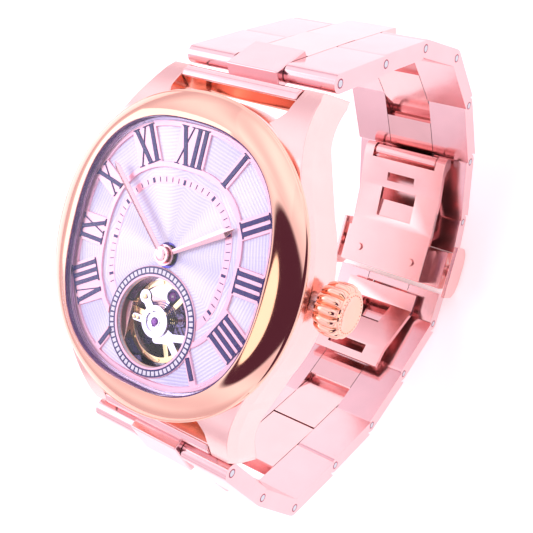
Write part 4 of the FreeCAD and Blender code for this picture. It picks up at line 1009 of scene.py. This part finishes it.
        if kind == "I":
            return [stem(0, 0, self.stem), serif(0, h, 0.56), serif(0, -h, 0.56)]
        if kind == "V":
            marks = [stem(0.0, -0.72, self.stem), stem(0.12, 0.78, self.hairline * 1.2)]
            return marks + [serif(-0.72, h, 0.58), self.tick(0.78, h, 0.42)]
        marks = [stem(0.78, -0.78, self.stem), stem(-0.82, 0.82, self.hairline * 1.2)]
        marks += [serif(-0.78, h, 0.55), serif(0.78, -h, 0.55)]
        return marks + [self.tick(0.82, h, 0.42), self.tick(-0.82, -h, 0.42)]

    def tick(self, x: float, level: float, half: float) -> np.ndarray:
        """Plain hairline serif."""
        step = math.copysign(self.hairline, level)
        low, left, right = level - step, x - half, x + half
        return np.array([(left, level), (right, level), (right, low), (left, low)])

    def numerals(self) -> None:
        """Roman hours, feet to the middle; five and seven keep one stem each beside the window."""
        piece = Piece("hour_numerals", "case", [self.finishes["numeral_ink"]])
        z = self.level + self.rise
        for hour, word in self.words.items():
            direction = np.array(math.radians(90 - self.turn(hour)))
            low = float(self.frame_oval(np.array(0.10), direction))
            high = float(self.frame_oval(np.array(0.93), direction))
            x = -sum(self.widths[c] for c in word) / 2
            for kind in word:
                x += self.widths[kind] / 2
                for number, outline in enumerate(self.letter(kind, high - low)):
                    lift = 0.002 * number
                    stroke = prism(outline + np.array([x, (low + high) / 2]), z - 0.02, z + self.ink + lift)
                    piece.add(stroke.turned(turn_z(-self.turn(hour))))
                x += self.widths[kind] / 2
        low, high = self.stem_ends
        stem = self.letter("I", high - low)[0] + np.array([0.0, (low + high) / 2])
        for turn in self.stem_turns.values():
            stroke = prism(stem, z - 0.02, z + self.ink)
            piece.add(stroke.turned(turn_z(-turn)))
        piece.build(("numerals",), "numeral_ink", 0.03, 1, 40.0)

    def window_ring(self) -> None:
        """Ring round the window: a rose base with two dark circles and sixty small white tiles."""
        level = self.level
        finishes = self.finishes.take("frame_rose", "numeral_ink", "track_white", "flange_silver")
        piece = Piece("tiled_window_ring", "case", finishes)
        inner, outer = self.window_r, self.ring_r
        profile = [(inner, level - 0.7), (inner + 0.22, level - 0.7), (inner + 0.22, level), (outer, level),
                   (outer, level + 0.18), (outer - 0.06, level + 0.24), (inner + 0.08, level + 0.24),
                   (inner, level + 0.16)]
        piece.add(revolved(profile, 180, self.window), 0)
        for radius, half in ((inner + 0.42, 0.07), (outer - 0.16, 0.07)):
            circle = tube_ring(radius + half, radius - half, level + 0.22, level + 0.265, 180, self.window)
            piece.add(circle, 1)
        dark = tube_ring(outer - 0.2, inner + 0.46, level + 0.22, level + 0.255, 180, self.window)
        piece.add(dark, 1)
        middle = (inner + 0.46 + outer - 0.2) / 2
        tile = prism(rectangle(0.25, 0.30), level + 0.24, level + 0.29)
        tile = Surface(tile.points + np.array([0.0, middle, 0.0]), tile.faces)
        for k in range(60):
            piece.add(tile.turned(turn_z(-6.0 * k - 3.0), (*self.window, 0.0)), 2)
        piece.build(("window_ring",), "dial_rose", 0.0, 1, 30.0)

    def build(self) -> None:
        """Build and dress the dial."""
        self.chapter_frame()
        self.minute_track()
        self.numerals()
        self.window_ring()


# ---- hands


@dataclass
class Hand:
    """A leaf with a ridge along its middle."""

    name: str
    node: str
    body: str
    angle: float
    length: float
    level: float
    thick: float
    widths: tuple[tuple[float, float], ...]
    hub: float
    ridge: float = 0.14

    def build(self, finishes: Finishes) -> None:
        """Section with five corners carried along the hand; half-width is linear between named stations."""
        stations = np.array(self.widths)
        along = np.unique(np.concatenate([stations[:, 0], np.linspace(0, 1, 24)]))
        half = np.interp(along, stations[:, 0], stations[:, 1])
        y = along * self.length
        low, edge, crest = self.level, self.level + self.thick * 0.45, self.level + self.thick
        keel = np.minimum(half / stations[:, 1].max(), 1.0)
        peak = edge + (crest - edge + self.ridge) * keel
        section = [(-half, low), (half, low), (half, edge), (0 * half, peak), (-half, edge)]
        leaf = grid(swept(section, y), close_v=True, caps=True)
        piece = Piece(self.name, self.body, [finishes["hand_rose_gold"]])
        piece.add(leaf.turned(turn_z(-self.angle)))
        collar = tube_ring(self.hub, 0.72, self.level - 0.08, self.level + self.thick + 0.05, 48)
        piece.add(collar)
        piece.build((self.node,), "hand_gold", 0.03, 1, 14.0)


@dataclass
class Hands:
    """Hour hand, minute hand and the cap over their middle."""

    finishes: Finishes
    hour: Hand = field(default_factory=lambda: Hand(
        "leaf_hour_hand", "hour_hand", "hour", 58.0, 11.9, 11.15, 0.18,
        ((0.0, 0.42), (0.1, 0.34), (0.82, 0.66), (0.86, 0.66), (1.0, 0.05)), 1.45))
    minute: Hand = field(default_factory=lambda: Hand(
        "leaf_minute_hand", "minute_hand", "minute", 310.5, 15.6, 11.75, 0.16,
        ((0.0, 0.46), (0.08, 0.42), (0.75, 0.48), (0.93, 0.44), (1.0, 0.06)), 1.15))

    def build(self) -> None:
        """Build both hands, the stack of their hubs with painted dark sides, and a ring of painted shadow
        round it.
        """
        self.hour.build(self.finishes)
        self.minute.build(self.finishes)
        cap = Piece("hub_cap", "minute", self.finishes.take("hand_rose_gold", "hub_red", "steel"))
        cap.add(disc(0.86, 11.8, 12.0, 48, dome=0.1), 0)
        # painted reflection: the stacked rings under the cap take the dark red that stands for the dark
        # reflection on the hub's sides
        for k in range(3):
            low = 11.36 + 0.12 * k
            cap.add(tube_ring(0.94 - 0.05 * (k % 2), 0.66, low, low + 0.11, 48), 1)
        cap.build(slot="hand_gold", bevel=0.04)
        # painted shadow: a dark ring on the dial round the hub stands for the hub's shadow and the shade in
        # the dial's hole
        hole_shade_ring = Piece("hub_hole_shade", "case", [self.finishes["blued_steel"]])
        hole_shade_ring.add(tube_ring(1.75, 1.3, 10.45, 10.62, 64)).build(slot="movement_dark", bevel=0.05)


# ---- bracelet


@dataclass
class Strand:
    """One half of the bracelet: seven links from the lug to the clasp."""

    finishes: Finishes
    word: str
    pin: Pair
    tilts: tuple[float, ...]
    side: int
    pitch: float = 12.3
    short: float = 6.0
    thick: float = 2.8
    half: Pair = (12.8, 10.9)
    centre: float = 4.4
    gap: float = 0.25
    seam: float = 0.1
    pin_r: float = 0.5
    # painted shade: the dark ring round each pin's end stands for the shade in the pin's hole
    hole_shade_r: float = 0.68      # dark ring round the pin's end

    def step(self, index: int) -> float:
        """Distance from a link's pin to the next."""
        return self.short if index == len(self.tilts) - 1 else self.pitch

    def hinges(self) -> list[Pair]:
        """Places (y, z) of every pin, each a step along its link's tilt from the one before."""
        points = [self.pin]
        for index, tilt in enumerate(self.tilts):
            y, z = points[-1]
            a, step = math.radians(tilt), self.step(index)
            points.append((y + self.side * step * math.sin(a), z - step * math.cos(a)))
        return points

    def outer_outline(self, index: int) -> np.ndarray:
        """Side view of an outer piece: full-round end on its pin, hollow end about the next pin."""
        t, step = self.thick / 2, self.step(index)
        round_end = arc((0, 0), t, 90, 270, 13)
        if index == len(self.tilts) - 1:
            end = np.array([(step - self.seam, -t), (step - self.seam, t)])
        else:
            hollow = t + self.gap
            rise = math.degrees(math.asin(t / hollow))
            end = arc((step, 0), hollow, 180 + rise, 180 - rise, 11)
        return np.vstack([round_end, end])

    def centre_outline(self, index: int) -> np.ndarray:
        """Side view of a centre piece: hollow about its own pin, round about the next one."""
        t, step = self.thick / 2, self.step(index)
        reach = self.pitch / 2 - t - self.gap
        near = reach + self.gap
        rise = math.degrees(math.asin(t / near))
        start = arc((0, 0), near, rise, -rise, 9)
        if index == len(self.tilts) - 1:
            end = np.array([(step - self.seam, -t), (step - self.seam, t)])
        else:
            far = math.degrees(math.asin(t / reach))
            end = arc((step, 0), reach, -far, far, 9)
        return np.vstack([start, end])

    def placed(self, surface: Surface, index: int, hinge: Pair) -> Surface:
        """From the link's own frame (Y along it, Z outwards) to the watch."""
        turn = self.tilts[index] - 90
        if self.side < 0:
            surface = surface.turned(turn_z(180))
            turn = -turn
        return surface.turned(turn_x(turn), (0, *hinge))

    def build(self) -> None:
        """Build the seven links, each with two outer pieces, a centre piece and its pin."""
        finishes = self.finishes.take("bracelet_satin", "bracelet_polished", "steel", "hub_red")
        for index, hinge in enumerate(self.hinges()[:-1]):
            share = index / (len(self.tilts) - 1)
            half = self.half[0] + (self.half[1] - self.half[0]) * share
            end = "%s_%d" % (self.word, index + 1)
            piece = Piece("bracelet_" + end, "l" + end, finishes)
            outer, centre = self.outer_outline(index), self.centre_outline(index)
            pin, hole_shade_ring = (arc((0, 0), radius, 0, 345, 24) for radius in (self.pin_r, self.hole_shade_r))
            for outline, low, high, finish in (
                (outer, self.centre + self.seam, half, 0), (outer, -half, -self.centre - self.seam, 0),
                (centre, -self.centre, self.centre, 1), (pin, -half - 0.03, half + 0.03, 2),
                # painted shade: dark rings at both ends of the pin stand for the shade in its holes
                (hole_shade_ring, half - 0.02, half + 0.012, 3), (hole_shade_ring, -half - 0.02, -half + 0.012, 3),
            ):
                piece.add(self.placed(prism(outline, low, high, "x"), index, hinge), finish)
            piece.build(("link_" + end,), "bracelet_gold", 0.34, 3, 30.0)


@dataclass
class Bracelet:
    """Both strands and the end links."""

    finishes: Finishes
    half: float = 9.9
    inner_y: float = 22.4
    tip: float = 25.6

    def end_piece(self, strand: Strand, tilt: float) -> None:
        """Block between the lugs, sloped towards the case, and the tongue that holds the first pin."""
        tip, near = self.tip, self.inner_y
        block = np.array([(near + 1.1, 2.4), (near + 1.55, 4.8), (tip - 0.8, 4.6), (tip - 0.15, 3.9),
                          (tip, 3.0), (tip, -1.6), (tip - 1.1, -2.2), (near + 0.4, -0.9)])
        facet = np.array([(near, 2.4), (near + 1.72, 4.7), (near + 1.72, 1.4), (near + 0.2, 1.4)])
        reach = strand.pitch / 2 - strand.thick / 2 - strand.gap
        t = strand.thick / 2
        rise = math.degrees(math.asin(t / reach))
        tongue = np.vstack([arc((0, 0), reach, -rise, rise, 9), [(-2.6, t), (-2.6, -t)]])
        hinge = (abs(strand.pin[0]), strand.pin[1])
        finishes = self.finishes.take("bracelet_satin", "polished_rose_gold")
        piece = Piece("end_piece_%s" % strand.word, "case", finishes)
        mirror = np.diag([1.0, strand.side, 1.0])
        tongue_part = prism(tongue, -strand.centre, strand.centre, "x").turned(turn_x(tilt - 90), (0, *hinge))
        for index, part in ((0, prism(block, -self.half, self.half, "x")), (0, tongue_part),
                            (1, prism(facet, -self.half, self.half, "x"))):
            piece.add(part.turned(mirror), index)
        piece.build(("end_link_%s" % strand.word,), "bracelet_gold", 0.22, 3, 25.0)

    def build(self) -> None:
        """Build and dress the bracelet."""
        upper = Strand(self.finishes, "12", (27.6, -0.3), (23.5, 22.5, 5.0, -29.5, -47.5, -64.5, -80.0), 1)
        lower = Strand(self.finishes, "6", (-27.5, 1.3), (29.0, 20.0, -26.0, -28.0, -47.0, -50.0, -88.0), -1)
        upper.build()
        lower.build()
        self.end_piece(upper, 38.0)
        self.end_piece(lower, 38.0)


@dataclass
class Clasp:
    """Folding clasp: box, plate, arm, catch and the two press buttons."""

    finishes: Finishes
    edges: dict = field(default_factory=lambda: {
        "clasp_box": 0.35, "clasp_plate": 0.14, "clasp_arm": 0.16, "clasp_catch": 0.16,
        "clasp_button_right": 0.22, "clasp_button_left": 0.22,
    })

    def build(self) -> None:
        """Round the edges of every clasp piece and brush it."""
        for node, width in self.edges.items():
            name = node.replace("clasp", "folding")
            refined(node, name, self.finishes["clasp_brushed"], width)


# ---- movement


@dataclass
class Movement:
    """Bridges, wheels and the balance seen through the dial window and the back."""

    finishes: Finishes
    balance: Pair = BALANCE_MIDDLE
    screw_ring: float = 5.33
    coil: Triple = (0.62, 0.33, 6.5)   # first radius, pitch and turns
    kept: dict = field(default_factory=lambda: {
        "sapphire": ("back_glass",), "seal_rubber": ("gaskets",), "dial_turned": ("dial",),
        "steel": ("crown_tube", "winding_stem", "setting_lever", "spring_bars", "barrel_arbor",
                  "movement_ring"),
        # the cannon pinion takes the dark red of the hub's painted reflection
        "brass": ("minute_wheel", "hour_wheel"), "hub_red": ("cannon_pinion",), "ruby": ("jewels",),
    })
    dressed: dict = field(default_factory=lambda: {
        "main_plate": ("plate_dark", 0.08, "movement_dark"),
        "train_bridge": ("bridge_striped", 0.10, "movement_silver"),
        "escape_bridge": ("plate_dark", 0.12, "movement_silver"),
        "balance_bridge": ("bridge_silver", 0.07, "movement_silver"),
        "regulator": ("bridge_silver", 0.05, "movement_silver"),
        "balance_wheel": ("balance_gold", 0.06, "movement_brass"),
        "barrel": ("brass", 0.05, "movement_brass"), "centre_wheel": ("brass", 0.03, "movement_brass"),
        "third_wheel": ("brass", 0.03, "movement_brass"), "fourth_wheel": ("brass", 0.03, "movement_brass"),
        "escape_wheel": ("steel", 0.02, "steel"), "pallet_fork": ("steel", 0.03, "steel"),
    })

    def hairspring(self) -> None:
        """Flat spiral: r = r0 + pitch turns / (2 pi), a thin upright ribbon, with its collet."""
        low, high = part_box("hairspring")
        z0, z1 = low.z / MM, high.z / MM
        start, pitch, turns = self.coil
        turn = np.linspace(0, turns * 2 * np.pi, 420)
        radius = start + pitch * turn / (2 * np.pi)
        ribbon = []
        for out, z in ((-0.035, z0), (0.035, z0), (0.035, z1), (-0.035, z1)):
            x, y = (radius + out) * np.cos(turn), (radius + out) * np.sin(turn)
            ribbon.append(np.stack([self.balance[0] + x, self.balance[1] + y, z + 0 * turn], -1))
        piece = Piece("spiral_hairspring", "balance", [self.finishes["blued_steel"]])
        piece.add(grid(np.stack(ribbon, 1), close_v=True, caps=True))
        piece.add(tube_ring(0.6, 0.25, z0, z1, 32, self.balance))
        piece.build(("hairspring",), "steel")

    def trim(self) -> None:
        """Rim screws on the balance, gold screws and a lyre spring on the balance bridge, and two rubies."""
        x, y = self.balance
        screws = Piece("rim_screws", "balance", [self.finishes["balance_gold"]])
        for place in arc((x, y), self.screw_ring, 12, 342, 12):
            screws.add(disc(0.2, 8.5, 8.62, 12, tuple(place)))
        screws.build(slot="movement_brass", bevel=0.02, steps=1)
        trim = Piece("bridge_trim", "case", self.finishes.take("balance_gold", "ruby", "hub_red"))
        for sx, sy, r in ((-2.5, 2.85, 0.4), (-2.9, -0.33, 0.28), (-3.6, -0.36, 0.28)):
            trim.add(disc(r, 10.0, 10.12, 24, (x + sx, y + sy), 0.05), 0)
        trim.add(disc(0.42, 9.8, 9.98, 32, (x, y), 0.06), 1)
        trim.build(slot="movement_brass", bevel=0.02, steps=1)

    def build(self) -> None:
        """Dress the nodes that stay and refine the ones that show."""
        for finish, nodes in self.kept.items():
            for node in nodes:
                mesh = frame["nodes"][node].data
                mesh.materials.clear()
                mesh.materials.append(self.finishes[finish])
        for node, (finish, width, slot) in self.dressed.items():
            refined(node, node + "_finished", self.finishes[finish], width)
        self.hairspring()
        self.trim()


# ---- studio


def axes_matrix(*columns: Triple) -> Matrix:
    """Matrix of three axes and a place."""
    matrix = Matrix.Identity(4)
    for column, axis in enumerate(columns):
        for row in range(3):
            matrix[row][column] = axis[row]
    return matrix


@dataclass
class Studio:
    """Pale floor, soft light all round with one dark card, and the camera."""

    finishes: Finishes
    camera_at: Triple = (77.02, 18.70, 106.10)
    right: Triple = (0.79646, 0.24754, -0.55170)
    up: Triple = (-0.28178, 0.95919, 0.02359)
    back: Triple = (0.53503, 0.13667, 0.83371)
    lens: float = 62.37
    sensor: float = 36.0
    card: Triple = (0.27, -0.24, 0.93)
    pane: Triple = (0.01, -0.25, 0.968)
    wave: Triple = (6.0, 8.0, 0.0)
    card_edge: Pair = (0.845, 30.0)       # cosine at which the card begins, and how sharply
    pane_edge: Pair = (0.978, 300.0)
    horizon_edge: Pair = (0.34, 4.0)
    floor_half: float = 1.5
    lamps_at: tuple[tuple, ...] = (("panel_left", (-0.42, 0.05, 0.30), 0.5, 0.4),
                                   ("panel_top", (0.05, 0.45, 0.35), 0.15, 0.6))

    def camera(self) -> None:
        """Camera from its three axes."""
        data = bpy.data.cameras.new("studio_camera")
        data.lens = self.lens
        data.sensor_width = self.sensor
        data.clip_start = 0.001
        view = linked("studio_camera", data)
        place = [c * MM for c in self.camera_at]
        view.matrix_world = axes_matrix(self.right, self.up, self.back, place)
        bpy.context.scene.camera = view

    def floor(self) -> None:
        """Wide plain floor just under the bracelet."""
        low = min(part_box(node)[0].z for node in frame["nodes"])
        mesh = bpy.data.meshes.new("studio_floor")
        corners = [(x, y, low) for x, y in rectangle(self.floor_half, self.floor_half)]
        mesh.from_pydata(corners, [], [(0, 1, 2, 3)])
        mesh.materials.append(self.finishes["studio_floor"])
        thing = linked("studio_floor", mesh)

    def world(self) -> None:
        """Bright surround with soft folds, a dark card with a lit pane in it, and a dimmer horizon."""
        world = bpy.data.worlds.new("studio")
        bpy.context.scene.world = world
        paint = Paint(world)
        way = paint.wire(paint.node("TexCoord"), "Generated")
        length = math.sqrt(sum(c * c for c in self.card))
        card = tuple(c / length for c in self.card)
        dark = ((paint.dot(way, card) - self.card_edge[0]) * self.card_edge[1]).clamped()
        lit = ((paint.dot(way, self.pane) - self.pane_edge[0]) * self.pane_edge[1]).clamped()
        folds = paint.dot(way, self.wave).sine() * 0.5 + 0.5
        height = paint.dot(way, (0.0, 0.0, 1.0)).size()
        horizon = ((height * -1.0 + self.horizon_edge[0]) * self.horizon_edge[1]).clamped()
        colour = paint.mix(folds, (0.92, 0.82, 0.95), (1.16, 1.15, 1.28))
        colour = paint.mix(horizon, colour, (0.78, 0.64, 0.74))
        colour = paint.mix(dark, colour, (0.09, 0.03, 0.06))
        colour = paint.mix(lit, colour, (1.6, 1.4, 1.2))
        sky = paint.node("Background", {"Color": colour, "Strength": 1.12})
        paint.node("OutputWorld", {"Surface": paint.wire(sky)})

    def lamps(self) -> None:
        """Two large soft panels: one behind the 9 o'clock side and one above 12."""
        for name, place, power, size in self.lamps_at:
            data = bpy.data.lights.new(name, "AREA")
            data.energy = power
            data.size = size
            aim = np.array(place) / np.linalg.norm(place)
            side = np.cross((0.0, 0.0, 1.0), aim)
            side /= np.linalg.norm(side)
            rise = np.cross(aim, side)
            linked(name, data).matrix_world = axes_matrix(side, rise, aim, place)

    def build(self) -> None:
        """Set up the studio."""
        self.camera()
        self.floor()
        self.world()
        self.lamps()
        bpy.context.scene.view_settings.view_transform = "Standard"


def main() -> None:
    """Build the watch in order."""
    logging.basicConfig(level=logging.INFO, format="%(message)s")
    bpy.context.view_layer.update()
    finishes = Finishes()
    assemblies = [Movement, Case, Dial, Hands, Bracelet, Clasp, Studio]
    for assembly in assemblies:
        assembly(finishes).build()
        LOG.info("%s done", assembly.__name__)


if __name__ == "__main__":
    main()
